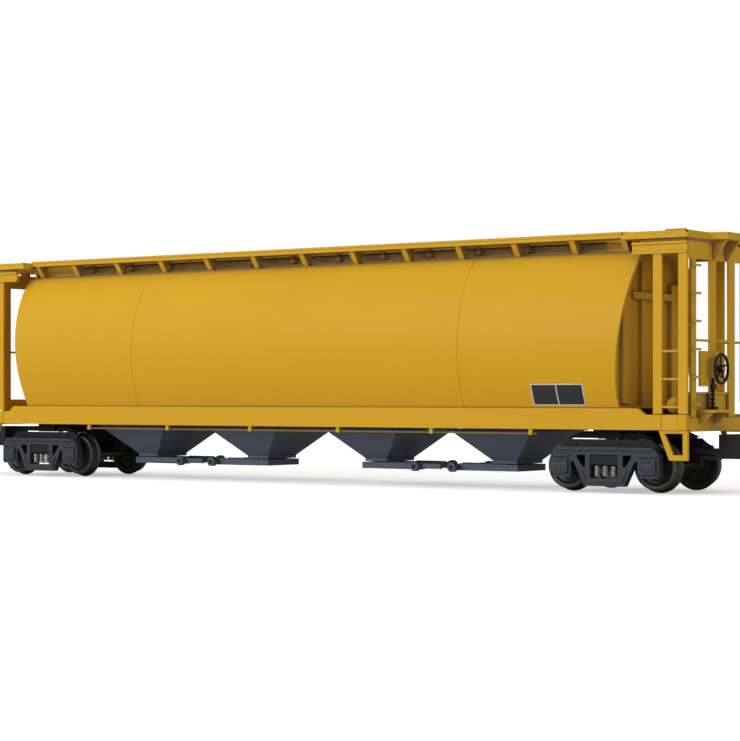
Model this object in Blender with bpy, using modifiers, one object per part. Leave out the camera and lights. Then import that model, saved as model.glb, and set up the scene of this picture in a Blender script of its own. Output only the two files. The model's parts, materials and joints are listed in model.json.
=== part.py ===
# Scale model of a four-bay covered hopper car, one to forty-eight, on two sprung trucks.
# World frame: X along the car with the brake end at +X, Y across, Z up from the flange bottoms.
# Sizes below are in millimetres; every helper turns them into metres.
import math

import bmesh
import bpy
from mathutils import Matrix
from mathutils import Vector

MM = 0.001

# Clearances
SEAT_GAP = 0.3
RUNNING_GAP = 0.35

# Wheels, axles and track
FLANGE_DEPTH = 1.0
TREAD_RADIUS = 8.73
WHEEL_BACK_TO_BACK = 28.0
FLANGE_WIDTH = 1.2
TREAD_WIDTH = 3.8
AXLE_RADIUS = 1.3
JOURNAL_RADIUS = 1.0
WHEEL_SIDES = 24
RAIL_Z = FLANGE_DEPTH
AXLE_Z = RAIL_Z + TREAD_RADIUS

# Driving length and width of the car; places along it are set back from the cage ends
CAGE_LENGTH = 361.0
SILL_HALF_WIDTH = 26.0
TRUCK_SETBACK = 35.25
BODY_SETBACK = 27.0
TRUCK_CENTRES = CAGE_LENGTH - 2 * TRUCK_SETBACK
BODY_LENGTH = CAGE_LENGTH - 2 * BODY_SETBACK
CAGE_END = CAGE_LENGTH / 2

# Trucks
WHEELBASE = 37.04
FRAME_INSIDE = 21.3
FRAME_THICKNESS = 3.3
FRAME_TOP = RAIL_Z + 16.0
FRAME_BOTTOM = RAIL_Z + 1.4
FRAME_OVERHANG = 4.4
FRAME_FOOT = 16.8
FRAME_SHOULDER = 2.4
FRAME_RIB = 0.6
BOX_HEIGHT = 8.2
BEARING_CAP_WIDTH = 6.6
BEARING_CAP_HEIGHT = 5.6
BEARING_CAP_DEPTH = 0.9
BOLSTER_WIDTH = 11.2
BOLSTER_HEIGHT = 3.4
BOLSTER_BOTTOM = RAIL_Z + 9.4
CENTRE_PLATE_RADIUS = 5.0
CENTRE_PLATE_HEIGHT = 1.4
SIDE_BEARING_Y = 16.5
SIDE_BEARING_WIDTH = 3.5
SIDE_BEARING_LENGTH = 18.0
KINGPIN_RADIUS = 1.5
KINGPIN_HEAD_RADIUS = 2.8
KINGPIN_HEAD_HEIGHT = 1.4
KINGPIN_GRIP = 3.0
SPRING_SEAT = RAIL_Z + 4.6
SPRING_COUNT = 3
SPRING_PITCH = 3.5
SPRING_RADIUS = 1.05
SPRING_WIRE = 0.5
SPRING_TURNS = 4
SPRING_POINTS = 8

# Couplers
TONGUE_WIDTH = 9.0
TONGUE_THICKNESS = 1.5
COUPLER_PIVOT = 30.0
COUPLER_REACH = 53.0
COUPLER_STUD_RADIUS = 1.4
COUPLER_STUD_HEAD = 2.6
SHANK_WIDTH = 7.0
SHANK_HEIGHT = 2.4
HEAD_HEIGHT = 9.0
HEAD_WIDTH = 15.0
LUG_HEIGHT = 1.2
KNUCKLE_PIN_RADIUS = 1.1

# Underframe
SILL_THICKNESS = 2.2
SILL_BOTTOM = RAIL_Z + 22.5
SILL_TOP = RAIL_Z + 30.5
SILL_END_TOP = RAIL_Z + 28.2
SILL_STEP_X = CAGE_END - 20.5
SILL_STEP_RUN = 3.0
FLANGE_STRIP_DROP = 2.2
FLANGE_STRIP_HEIGHT = 1.0
HANGER_COUNT = 6
HANGER_PITCH = (BODY_LENGTH - 79.0) / (HANGER_COUNT - 1)
HANGER_WIDTH = 2.2
FLANGE_STRIP_LENGTH = HANGER_PITCH * (HANGER_COUNT - 1) + 4.0
FLOOR_THICKNESS = 2.0
FLOOR_LENGTH = TRUCK_CENTRES + 11.5
STUB_SILL_WIDTH = 14.0
STUB_SILL_START = TRUCK_CENTRES / 2 - 7.25
STUB_SILL_END = TRUCK_CENTRES / 2 + 22.75
STUB_SILL_TOP = RAIL_Z + 20.4
UNDERFRAME_BOTTOM = RAIL_Z + 19.0
BODY_BOLSTER_WIDTH = 10.0
BODY_BOLSTER_SPAN = 40.0
SHEAR_PLATE_LENGTH = 36.0
SHEAR_PLATE_SLOPE = 5.0
SHEAR_PLATE_BOTTOM = RAIL_Z + 19.2
SHEAR_PLATE_TOP = RAIL_Z + 21.4

# Hopper bays and outlet gates
BAY_COUNT = 4
BAY_PITCH = (TRUCK_CENTRES - 42.9) / BAY_COUNT
BAY_TOP_LENGTH = 36.4
BAY_TOP_WIDTH = 2 * SILL_HALF_WIDTH - 10.6
BAY_THROAT_LENGTH = 11.0
BAY_THROAT_WIDTH = 19.6
BAY_THROAT_Z = RAIL_Z + 8.4
BAY_FLANGE = 1.2
BAY_FLANGE_HEIGHT = 0.9
GATE_HEIGHT = 2.6
GATE_BORDER = 0.9
GATE_RAIL_WIDTH = 1.8
GATE_REACH = BAY_PITCH / 2 - 14.0
GATE_SHAFT_RADIUS = 1.1
GATE_SHAFT_LENGTH = 25.0
GATE_BAR_HEIGHT = 2.0
GATE_BAR_WIDTH = 1.6
GATE_CAPSTAN_RADIUS = 1.9
GATE_CAPSTAN_LENGTH = 2.4

# Body shell and roof
BODY_HALF_WIDTH = SILL_HALF_WIDTH + 4.8
SIDE_RADIUS = 52.0
BULGE_Z = RAIL_Z + 54.0
SHOULDER_Z = RAIL_Z + 89.0
ROOF_Z = RAIL_Z + 91.4
END_RIB_WIDTH = 2.0
END_RIB_DEPTH = 1.6
END_RIB_PITCH = 12.4
END_RIBS = 4
END_LEDGE_Z = RAIL_Z + 73.0
BODY_WALL = 1.8
COAMING_HALF_WIDTH = SILL_HALF_WIDTH - 17.5
COAMING_TOP = RAIL_Z + 93.2
HATCH_COUNT = 4
HATCH_PITCH = (BODY_LENGTH - 31.0) / HATCH_COUNT
HATCH_GAP = 1.2
HATCH_HEIGHT = 2.6
HATCH_OVERHANG = 1.0
HATCH_RIBS = 3
HATCH_RIB_HEIGHT = 0.5

# Roof walkways and end platforms
WALK_HALF_WIDTH = SILL_HALF_WIDTH - 5.0
WALK_BOARD = 8.0
WALK_TOP = RAIL_Z + 94.7
WALK_THICKNESS = 1.9
WALK_HALF_LENGTH = CAGE_END - 20.5
BRACKET_COUNT = 11
BRACKET_PITCH = (BODY_LENGTH - 49.5) / (BRACKET_COUNT - 1)
BRACKET_WIDTH = 2.2
BRACKET_THICKNESS = 1.2
BRACKET_HEAD = 5.0
BRACKET_FOOT_INSET = 1.8
PLATFORM_REACH = 7.0
PLATFORM_NOSE = 6.6
PLATFORM_NOSE_SLOPE = 3.0
GUSSET_THICKNESS = 1.0
GUSSET_DEPTH = 6.0
GRAB_RADIUS = 0.4
GRAB_HEIGHT = 1.1
GRAB_SPAN = 8.0

# End cages
CAGE_TOP = RAIL_Z + 91.5
CAGE_BEAM_HEIGHT = 4.4
CAGE_BEAM_START = CAGE_END - 22.5
CAGE_DEPTH = 2.8
CAGE_LIP = 0.5
CAGE_LIP_HEIGHT = 0.9
POST_WIDTH = 3.6
INNER_POST_X = CAGE_END - 13.9
RUNG_RADIUS = 0.45
RUNG_PITCH = 10.2
SIDE_RUNG_Z = RAIL_Z + 31.0
SIDE_RUNGS = 3
END_RUNG_Z = RAIL_Z + 31.8
END_RUNGS = 6
END_BEAM_HEIGHT = 6.2
END_DEPTH = 3.3
END_STILE_Y = -SILL_HALF_WIDTH + 5.4
END_STILE_WIDTH = 3.6
END_POST_PITCH = (2 * SILL_HALF_WIDTH - 4.9) / 3
END_POST_WIDTH = 5.0
END_RUNG_STANDOFF = 1.3
END_RAIL_Z = RAIL_Z + 55.5
DECK_TOP = RAIL_Z + 27.0
DECK_THICKNESS = 1.6
DECK_START = CAGE_END - 25.0
DECK_SKIRT = 5.0
STEP_DROP = 11.0
STEP_STRAP = 2.0
STEP_LENGTH = 12.0

# Brake gear at the brake end
BRAKE_WHEEL_RADIUS = 5.9
BRAKE_WHEEL_RIM = 0.55
BRAKE_WHEEL_SPOKES = 5
BRAKE_WHEEL_Y = END_STILE_Y + 13.0
BRAKE_WHEEL_Z = RAIL_Z + 45.1
BRAKE_HUB_RADIUS = 1.5
BRAKE_HUB_LENGTH = 2.0
BRAKE_SHAFT_RADIUS = 0.7
BRAKE_BOX_DEPTH = 2.2
BRAKE_BOX_WIDTH = 6.0
BRAKE_BOX_HEIGHT = 7.0
BRAKE_PLATE_THICKNESS = 0.9
BRAKE_PLATE_HEIGHT = 13.0
BRAKE_STEP_Z = RAIL_Z + 29.0
BRAKE_STEP_REACH = 7.0
BRAKE_STEP_THICKNESS = 1.0
RESERVOIR_RADIUS = 3.1
RESERVOIR_LENGTH = 25.4
RESERVOIR_X = CAGE_END - 13.0

# Derived places
BODY_BOTTOM = SILL_TOP + SEAT_GAP
BOLSTER_TOP = BOLSTER_BOTTOM + BOLSTER_HEIGHT
CENTRE_PLATE_TOP = BOLSTER_TOP + CENTRE_PLATE_HEIGHT
COLLAR_BOTTOM = CENTRE_PLATE_TOP + SEAT_GAP
COLLAR_TOP = UNDERFRAME_BOTTOM - SEAT_GAP
FLOOR_BOTTOM = SILL_BOTTOM
FLOOR_TOP = FLOOR_BOTTOM + FLOOR_THICKNESS
BAY_TOP = FLOOR_BOTTOM - SEAT_GAP
GATE_TOP = BAY_THROAT_Z - SEAT_GAP
FRAME_OUTSIDE = FRAME_INSIDE + FRAME_THICKNESS
FLANGE_RADIUS = TREAD_RADIUS + FLANGE_DEPTH
WALK_BOTTOM = WALK_TOP - WALK_THICKNESS
CAGE_BEAM_BOTTOM = CAGE_TOP - CAGE_BEAM_HEIGHT
SHOULDER_HALF_WIDTH = BODY_HALF_WIDTH - SIDE_RADIUS + math.sqrt(SIDE_RADIUS ** 2 - (SHOULDER_Z - BULGE_Z) ** 2)

for old in list(bpy.data.objects):
    bpy.data.objects.remove(old, do_unlink=True)

car = bpy.data.collections.new("hopper_car")
bpy.context.scene.collection.children.link(car)
bench = bpy.data.collections.new("construction")
bpy.context.scene.collection.children.link(bench)


def paint(name, hex_colour, roughness, metallic):
    """Principled material with an sRGB hex colour."""
    material = bpy.data.materials.new(name)
    material.use_nodes = True
    shader = material.node_tree.nodes["Principled BSDF"]
    channels = [int(hex_colour[i:i + 2], 16) / 255 for i in (1, 3, 5)]
    linear = [c / 12.92 if c <= 0.04045 else ((c + 0.055) / 1.055) ** 2.4 for c in channels]
    shader.inputs["Base Color"].default_value = (*linear, 1.0)
    shader.inputs["Roughness"].default_value = roughness
    shader.inputs["Metallic"].default_value = metallic
    material.diffuse_color = (*linear, 1.0)
    return material


YELLOW = paint("yellow_body_paint", "#D4A628", 0.42, 0.0)
GREY = paint("dark_grey_plastic", "#404350", 0.5, 0.0)
TRUCK_GREY = paint("truck_grey_diecast", "#3A3F48", 0.45, 0.2)
BLACK = paint("black_diecast", "#141516", 0.5, 0.0)
STEEL = paint("bright_spring_steel", "#9A9894", 0.3, 1.0)
WHEEL_METAL = paint("blackened_wheel_metal", "#4A4A48", 0.35, 0.8)


def placed(name, mesh, material, parent=None, location=(0, 0, 0)):
    """Add a finished mesh to the car as a named object."""
    thing = bpy.data.objects.new(name, mesh)
    thing.location = [c * MM for c in location]
    thing.parent = parent
    if not mesh.materials:
        mesh.materials.append(material)
    car.objects.link(thing)
    return thing


def empty(name, location, turn=0.0):
    """Parent empty at a place in millimetres, turned about Z by degrees."""
    node = bpy.data.objects.new(name, None)
    node.location = [c * MM for c in location]
    node.rotation_euler = (0, 0, math.radians(turn))
    node.empty_display_size = 10 * MM
    car.objects.link(node)
    return node


def baked(thing):
    """Evaluated mesh of a construction object, welded and facing outward."""
    bpy.context.view_layer.update()
    graph = bpy.context.evaluated_depsgraph_get()
    mesh = bpy.data.meshes.new_from_object(thing.evaluated_get(graph))
    mesh.transform(thing.matrix_world)
    form = bmesh.new()
    form.from_mesh(mesh)
    bmesh.ops.remove_doubles(form, verts=form.verts, dist=1e-6)
    bmesh.ops.recalc_face_normals(form, faces=form.faces)
    form.to_mesh(mesh)
    form.free()
    mesh.materials.clear()
    bpy.data.objects.remove(thing, do_unlink=True)
    return mesh


def on_bench(data):
    """Temporary object on the construction collection."""
    thing = bpy.data.objects.new("tool", data)
    thing.hide_render = True
    thing.display_type = "WIRE"
    bench.objects.link(thing)
    return thing


def combined(base, tools, operation):
    """Exact Boolean of one mesh with each tool mesh in turn."""
    thing = on_bench(base)
    helpers = []
    for tool in tools:
        helper = on_bench(tool)
        step = thing.modifiers.new("step", "BOOLEAN")
        step.operation = operation
        step.solver = "EXACT"
        step.object = helper
        helpers.append(helper)
    mesh = baked(thing)
    for helper in helpers:
        bpy.data.objects.remove(helper, do_unlink=True)
    return mesh


def fused(base, *tools):
    return combined(base, tools, "UNION")


def drilled(base, *tools):
    return combined(base, tools, "DIFFERENCE")


def box(x, y, z):
    """Box between two X, two Y and two Z values."""
    form = bmesh.new()
    bmesh.ops.create_cube(form, size=1.0)
    span = [(b - a) * MM for a, b in (x, y, z)]
    centre = [(a + b) / 2 * MM for a, b in (x, y, z)]
    form.transform(Matrix.Translation(centre) @ Matrix.Diagonal((*span, 1)))
    mesh = bpy.data.meshes.new("box")
    form.to_mesh(mesh)
    form.free()
    return mesh


def rod(radius, start, end, sides=12):
    """Straight round bar between two points."""
    begin = Vector(start) * MM
    run = Vector(end) * MM - begin
    form = bmesh.new()
    bmesh.ops.create_cone(form, cap_ends=True, segments=sides, radius1=radius * MM,
                          radius2=radius * MM, depth=run.length)
    turn = run.to_track_quat("Z", "Y").to_matrix().to_4x4()
    form.transform(Matrix.Translation(begin + run / 2) @ turn)
    mesh = bpy.data.meshes.new("rod")
    form.to_mesh(mesh)
    form.free()
    return mesh


PLANES = {
    "XY": Matrix.Identity(4),
    "XZ": Matrix(((1, 0, 0, 0), (0, 0, -1, 0), (0, 1, 0, 0), (0, 0, 0, 1))),
    "YZ": Matrix(((0, 0, 1, 0), (1, 0, 0, 0), (0, 1, 0, 0), (0, 0, 0, 1))),
}
NORMALS = {"XY": Vector((0, 0, 1)), "XZ": Vector((0, 1, 0)), "YZ": Vector((1, 0, 0))}


def plate(plane, loops, low, high):
    """Flat outline, with holes as further loops, between two levels across its plane."""
    data = bpy.data.curves.new("outline", "CURVE")
    data.dimensions = "2D"
    data.fill_mode = "BOTH"
    data.extrude = (high - low) / 2 * MM
    for loop in loops:
        spline = data.splines.new("POLY")
        spline.points.add(len(loop) - 1)
        for point, (u, v) in zip(spline.points, loop):
            point.co = (u * MM, v * MM, 0, 1)
        spline.use_cyclic_u = True
    thing = on_bench(data)
    shift = Matrix.Translation(NORMALS[plane] * (low + high) / 2 * MM)
    thing.matrix_world = shift @ PLANES[plane]
    return baked(thing)


def wire(points, radius, resolution=1):
    """Round wire along a chain of points."""
    data = bpy.data.curves.new("wire", "CURVE")
    data.dimensions = "3D"
    data.bevel_depth = radius * MM
    data.bevel_resolution = resolution
    data.use_fill_caps = True
    spline = data.splines.new("POLY")
    spline.points.add(len(points) - 1)
    for point, place in zip(spline.points, points):
        point.co = (place[0] * MM, place[1] * MM, place[2] * MM, 1)
    return baked(on_bench(data))


def turned(profile, steps):
    """Profile of radius and Y turned about the Y axis, its facets on the true radius and one at the bottom."""
    mesh = bpy.data.meshes.new("profile")
    spread = MM / math.cos(math.pi / steps)
    rows = [(r * spread, y * MM, 0) for r, y in profile]
    mesh.from_pydata(rows, [(i, i + 1) for i in range(len(rows) - 1)], [])
    thing = on_bench(mesh)
    screw = thing.modifiers.new("turn", "SCREW")
    screw.axis = "Y"
    screw.steps = steps
    screw.render_steps = steps
    screw.use_merge_vertices = True
    screw.merge_threshold = 1e-6
    thing.matrix_world = Matrix.Rotation(math.pi / steps, 4, "Y")
    return baked(thing)


def loft(rings):
    """Closed skin through rings of equal point counts, capped at both ends."""
    form = bmesh.new()
    rows = [[form.verts.new(Vector(p) * MM) for p in ring] for ring in rings]
    count = len(rings[0])
    for near, far in zip(rows, rows[1:]):
        for i in range(count):
            j = (i + 1) % count
            form.faces.new((near[i], near[j], far[j], far[i]))
    form.faces.new(rows[0])
    form.faces.new(list(reversed(rows[-1])))
    bmesh.ops.recalc_face_normals(form, faces=form.faces)
    mesh = bpy.data.meshes.new("loft")
    form.to_mesh(mesh)
    form.free()
    return mesh


def rectangle(half_length, half_width, z):
    return [(-half_length, -half_width, z), (half_length, -half_width, z),
            (half_length, half_width, z), (-half_length, half_width, z)]


def mirrored(points):
    """Close a half outline by mirroring it in its first coordinate."""
    return points + [(-u, v) for u, v in reversed(points)]


# Body shell: bulging sides, low roof crown, flat ribbed ends, open underside
def body_section(inset, bottom, facets):
    radius = SIDE_RADIUS - inset
    centre = BODY_HALF_WIDTH - SIDE_RADIUS
    low = math.asin((bottom - BULGE_Z) / radius)
    high = math.asin((SHOULDER_Z - inset - BULGE_Z) / radius)
    side = []
    for i in range(facets + 1):
        angle = low + (high - low) * i / facets
        side.append((centre + radius * math.cos(angle), BULGE_Z + radius * math.sin(angle)))
    edge_y, edge_z = side[-1]
    for i in range(1, 4):
        t = i / 4
        side.append((edge_y * (1 - t), edge_z + (ROOF_Z - SHOULDER_Z) * (1 - (1 - t) ** 2)))
    crown = [(0, ROOF_Z - inset)]
    return side + crown + [(-y, z) for y, z in reversed(side)]


def body_loft(half_length, wall, bottom, facets):
    section = body_section(wall, bottom, facets)
    return loft([[(x, y, z) for y, z in section] for x in (-half_length, half_length)])


body_half = BODY_LENGTH / 2
shell = body_loft(body_half, 0, BODY_BOTTOM, 16)
cavity = body_loft(body_half - BODY_WALL, BODY_WALL, BODY_BOTTOM - BODY_WALL, 8)
shell = drilled(shell, cavity)
end_ribs = []
rib_span = (END_RIBS - 1) / 2 * END_RIB_PITCH
for sign in (-1, 1):
    rib_x = sorted((sign * (body_half - BODY_WALL / 2), sign * (body_half + END_RIB_DEPTH)))
    for i in range(END_RIBS):
        y = i * END_RIB_PITCH - rib_span
        end_ribs.append(box(rib_x, (y - END_RIB_WIDTH / 2, y + END_RIB_WIDTH / 2),
                            (BODY_BOTTOM + 1.0, SHOULDER_Z - 2.0 - abs(y) * 0.2)))
    ledge_x = sorted((sign * (body_half - BODY_WALL / 2), sign * (body_half + END_RIB_DEPTH * 0.7)))
    end_ribs.append(box(ledge_x, (-rib_span, rib_span), (END_LEDGE_Z - 0.9, END_LEDGE_Z + 0.9)))
shell = fused(shell, *end_ribs)
coaming_half = HATCH_COUNT * HATCH_PITCH / 2
coaming = box((-coaming_half, coaming_half), (-COAMING_HALF_WIDTH, COAMING_HALF_WIDTH),
              (ROOF_Z - BODY_WALL / 2, COAMING_TOP))
placed("body_shell", fused(shell, coaming), YELLOW)

# Trough hatch covers on the coaming
hatch_half = (HATCH_PITCH - HATCH_GAP) / 2
hatch_width = COAMING_HALF_WIDTH + HATCH_OVERHANG
hatch_base = COAMING_TOP + SEAT_GAP
hatch_arch = []
for i in range(7):
    u = hatch_width * (1 - i / 3)
    rise = HATCH_HEIGHT * (0.35 + 0.65 * (1 - (u / hatch_width) ** 2))
    hatch_arch.append((u, hatch_base + rise))
hatch_arch = [(hatch_width, hatch_base)] + hatch_arch + [(-hatch_width, hatch_base)]
hatch = plate("YZ", [hatch_arch], -hatch_half, hatch_half)
ribs = []
for i in range(HATCH_RIBS):
    x = -hatch_half + 2 * hatch_half * (i + 0.5) / HATCH_RIBS
    outline = [(u * 0.96, v + (HATCH_RIB_HEIGHT if v > hatch_base else 0.4)) for u, v in hatch_arch]
    ribs.append(plate("YZ", [outline], x - 0.8, x + 0.8))
hatch = fused(hatch, *ribs)
for i in range(HATCH_COUNT):
    x = (i - (HATCH_COUNT - 1) / 2) * HATCH_PITCH
    placed("hatch_cover_%d" % (i + 1), hatch, YELLOW, location=(x, 0, 0))

# Side sills with their stepped ends, hanger strip and corner steps
sill_outline = mirrored([(CAGE_END, SILL_BOTTOM), (CAGE_END, SILL_END_TOP),
                         (SILL_STEP_X + SILL_STEP_RUN, SILL_END_TOP), (SILL_STEP_X, SILL_TOP)])
strip_top = SILL_BOTTOM - FLANGE_STRIP_DROP + FLANGE_STRIP_HEIGHT
strip_outer = SILL_HALF_WIDTH - 0.4
strip_inner = SILL_HALF_WIDTH - SILL_THICKNESS + 0.4
half_strip = FLANGE_STRIP_LENGTH / 2
step_foot = SILL_BOTTOM - STEP_DROP
step_out = CAGE_END
step_in = CAGE_END - STEP_LENGTH
for name, turn in (("left", 0), ("right", 180)):
    side = empty("side_%s" % name, (0, 0, 0), turn)
    sill = plate("XZ", [sill_outline], -SILL_HALF_WIDTH, -SILL_HALF_WIDTH + SILL_THICKNESS)
    extras = [box((-half_strip, half_strip), (-strip_outer, -strip_inner),
                  (SILL_BOTTOM - FLANGE_STRIP_DROP, strip_top))]
    for i in range(HANGER_COUNT):
        x = (i - (HANGER_COUNT - 1) / 2) * HANGER_PITCH
        extras.append(box((x - HANGER_WIDTH / 2, x + HANGER_WIDTH / 2),
                          (-strip_outer - 0.2, -strip_inner - 0.2),
                          (SILL_BOTTOM - FLANGE_STRIP_DROP - 0.2, SILL_BOTTOM + 0.5)))
    for sign in (-1, 1):
        strap = [(step_out, SILL_BOTTOM + 0.4), (step_in, SILL_BOTTOM + 0.4),
                 (step_in + 4.5, step_foot), (step_out, step_foot)]
        hole = [(step_out - STEP_STRAP, SILL_BOTTOM - STEP_STRAP * 0.6),
                (step_in + STEP_STRAP * 1.3, SILL_BOTTOM - STEP_STRAP * 0.6),
                (step_in + 4.5 + STEP_STRAP * 0.8, step_foot + STEP_STRAP),
                (step_out - STEP_STRAP, step_foot + STEP_STRAP)]
        strap = [[(sign * u, v) for u, v in loop] for loop in (strap, hole)]
        extras.append(plate("XZ", strap, -SILL_HALF_WIDTH + 0.4, -SILL_HALF_WIDTH + 1.6))
    placed("side_sill_%s" % name, fused(sill, *extras), YELLOW, side)

# Underframe moulding: floor pan, body bolsters and stub sills
floor_half = SILL_HALF_WIDTH - SILL_THICKNESS - SEAT_GAP
floor = box((-FLOOR_LENGTH / 2, FLOOR_LENGTH / 2), (-floor_half, floor_half), (FLOOR_BOTTOM, FLOOR_TOP))
frame_parts = []
truck_x = TRUCK_CENTRES / 2
for sign in (-1, 1):
    bolster_x = sorted((sign * (truck_x - BODY_BOLSTER_WIDTH / 2), sign * (truck_x + BODY_BOLSTER_WIDTH / 2)))
    frame_parts.append(box(bolster_x, (-BODY_BOLSTER_SPAN / 2, BODY_BOLSTER_SPAN / 2),
                           (UNDERFRAME_BOTTOM, FLOOR_BOTTOM + 0.5)))
    stub_x = sorted((sign * STUB_SILL_START, sign * STUB_SILL_END))
    frame_parts.append(box(stub_x, (-STUB_SILL_WIDTH / 2, STUB_SILL_WIDTH / 2),
                           (UNDERFRAME_BOTTOM + 0.1, STUB_SILL_TOP)))
    shear_half = SHEAR_PLATE_LENGTH / 2
    shear = [(truck_x - shear_half, SHEAR_PLATE_BOTTOM), (truck_x + shear_half, SHEAR_PLATE_BOTTOM),
             (truck_x + shear_half - SHEAR_PLATE_SLOPE, SHEAR_PLATE_TOP),
             (truck_x - shear_half + SHEAR_PLATE_SLOPE, SHEAR_PLATE_TOP)]
    frame_parts.append(plate("XZ", [[(sign * u, v) for u, v in shear]], -BODY_BOLSTER_SPAN / 2 + 0.6,
                             BODY_BOLSTER_SPAN / 2 - 0.6))
underframe = fused(floor, *frame_parts)
pin_holes = []
pin_top = UNDERFRAME_BOTTOM + KINGPIN_GRIP
for sign in (-1, 1):
    pin_holes.append(rod(KINGPIN_RADIUS + SEAT_GAP, (sign * truck_x, 0, UNDERFRAME_BOTTOM - 1),
                         (sign * truck_x, 0, pin_top + SEAT_GAP), 16))
placed("underframe", drilled(underframe, *pin_holes), BLACK)

# Hopper bays: four-sided funnels with a top flange and a throat collar
bay_top_half = BAY_TOP_LENGTH / 2
bay_top_width = BAY_TOP_WIDTH / 2
bay = loft([
    rectangle(bay_top_half + BAY_FLANGE, bay_top_width + BAY_FLANGE, BAY_TOP),
    rectangle(bay_top_half + BAY_FLANGE, bay_top_width + BAY_FLANGE, BAY_TOP - BAY_FLANGE_HEIGHT),
    rectangle(bay_top_half, bay_top_width, BAY_TOP - BAY_FLANGE_HEIGHT),
    rectangle(BAY_THROAT_LENGTH / 2, BAY_THROAT_WIDTH / 2, BAY_THROAT_Z + 1.2),
    rectangle(BAY_THROAT_LENGTH / 2, BAY_THROAT_WIDTH / 2, BAY_THROAT_Z),
])

# Outlet gates: frame, two slide rails, cross shaft with a capstan at each end
gate_half = BAY_THROAT_LENGTH / 2 + GATE_BORDER
gate_width = BAY_THROAT_WIDTH / 2 + GATE_BORDER
gate_bottom = GATE_TOP - GATE_HEIGHT
rail_inner = gate_width - GATE_RAIL_WIDTH
gate_outline = [(-gate_half, -gate_width), (gate_half + GATE_REACH, -gate_width),
                (gate_half + GATE_REACH, -rail_inner), (gate_half, -rail_inner),
                (gate_half, rail_inner), (gate_half + GATE_REACH, rail_inner),
                (gate_half + GATE_REACH, gate_width), (-gate_half, gate_width)]
shaft_x = gate_half + GATE_REACH - GATE_SHAFT_RADIUS * 1.2
shaft_z = (GATE_TOP + gate_bottom) / 2
gate_parts = [rod(GATE_SHAFT_RADIUS, (shaft_x, -GATE_SHAFT_LENGTH / 2, shaft_z),
                  (shaft_x, GATE_SHAFT_LENGTH / 2, shaft_z), 10)]
bar_low = -gate_width - GATE_BAR_WIDTH + 0.3
gate_parts.append(box((gate_half - 2.0, BAY_PITCH / 2 + 2.0), (bar_low, bar_low + GATE_BAR_WIDTH),
                      (GATE_TOP - GATE_BAR_HEIGHT - 0.2, GATE_TOP - 0.2)))
for sign in (-1, 1):
    inner_end = sign * (GATE_SHAFT_LENGTH / 2 - 0.2)
    gate_parts.append(rod(GATE_CAPSTAN_RADIUS, (shaft_x, inner_end, shaft_z),
                          (shaft_x, inner_end + sign * GATE_CAPSTAN_LENGTH, shaft_z), 12))
gate = fused(plate("XY", [gate_outline], gate_bottom, GATE_TOP), *gate_parts)
for i in range(BAY_COUNT):
    x = (i - (BAY_COUNT - 1) / 2) * BAY_PITCH
    station = empty("bay_station_%d" % (i + 1), (x, 0, 0), 180 * (i % 2))
    placed("hopper_bay_%d" % (i + 1), bay, GREY, station)
    placed("outlet_gate_%d" % (i + 1), gate, GREY, station)

# Roof walkways on slanted brackets
bracket_foot = SHOULDER_HALF_WIDTH - BRACKET_FOOT_INSET
bracket_base = SHOULDER_Z + 0.6 + SEAT_GAP
bracket_head = WALK_HALF_WIDTH - 0.6
bracket_outline = [(-bracket_head, WALK_BOTTOM + 0.3), (-bracket_head + BRACKET_HEAD, WALK_BOTTOM + 0.3),
                   (-bracket_foot + BRACKET_THICKNESS, bracket_base), (-bracket_foot, bracket_base)]
for name, turn in (("left", 0), ("right", 180)):
    side = empty("roof_%s" % name, (0, 0, 0), turn)
    board = box((-WALK_HALF_LENGTH, WALK_HALF_LENGTH),
                (-WALK_HALF_WIDTH, -WALK_HALF_WIDTH + WALK_BOARD), (WALK_BOTTOM, WALK_TOP))
    feet = []
    for i in range(BRACKET_COUNT):
        x = (i - (BRACKET_COUNT - 1) / 2) * BRACKET_PITCH
        feet.append(plate("YZ", [bracket_outline], x - BRACKET_WIDTH / 2, x + BRACKET_WIDTH / 2))
    placed("roof_walkway_%s" % name, fused(board, *feet), YELLOW, side)

# Pieces of one end, made at the brake end and turned for the other
ladder_front = -SILL_HALF_WIDTH
ladder_back = ladder_front + CAGE_DEPTH
post_foot = SILL_END_TOP + SEAT_GAP
corner_post = CAGE_END - POST_WIDTH
fork = [(CAGE_BEAM_START, CAGE_TOP), (CAGE_END, CAGE_TOP), (CAGE_END, post_foot), (corner_post, post_foot),
        (corner_post, CAGE_BEAM_BOTTOM), (INNER_POST_X + POST_WIDTH, CAGE_BEAM_BOTTOM),
        (INNER_POST_X + POST_WIDTH, post_foot), (INNER_POST_X, post_foot),
        (INNER_POST_X, CAGE_BEAM_BOTTOM), (CAGE_BEAM_START, CAGE_BEAM_BOTTOM)]


def cage_side(rung_heights):
    panel = plate("XZ", [fork], ladder_front, ladder_back)
    parts = []
    for low in (CAGE_TOP - CAGE_LIP_HEIGHT, CAGE_BEAM_BOTTOM):
        parts.append(box((CAGE_BEAM_START, CAGE_END), (ladder_front - CAGE_LIP, ladder_front + 0.4),
                         (low, low + CAGE_LIP_HEIGHT)))
    for z in rung_heights:
        y = (ladder_front + ladder_back) / 2
        parts.append(rod(RUNG_RADIUS, (INNER_POST_X + POST_WIDTH - 1, y, z), (corner_post + 1, y, z), 8))
    return fused(panel, *parts)


side_rungs = [SIDE_RUNG_Z + i * RUNG_PITCH for i in range(SIDE_RUNGS)]
ladder_panel = cage_side(side_rungs)
grab_panel = cage_side([END_RAIL_Z])
for vertex in grab_panel.vertices:
    vertex.co.y = -vertex.co.y
grab_panel.flip_normals()

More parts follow.
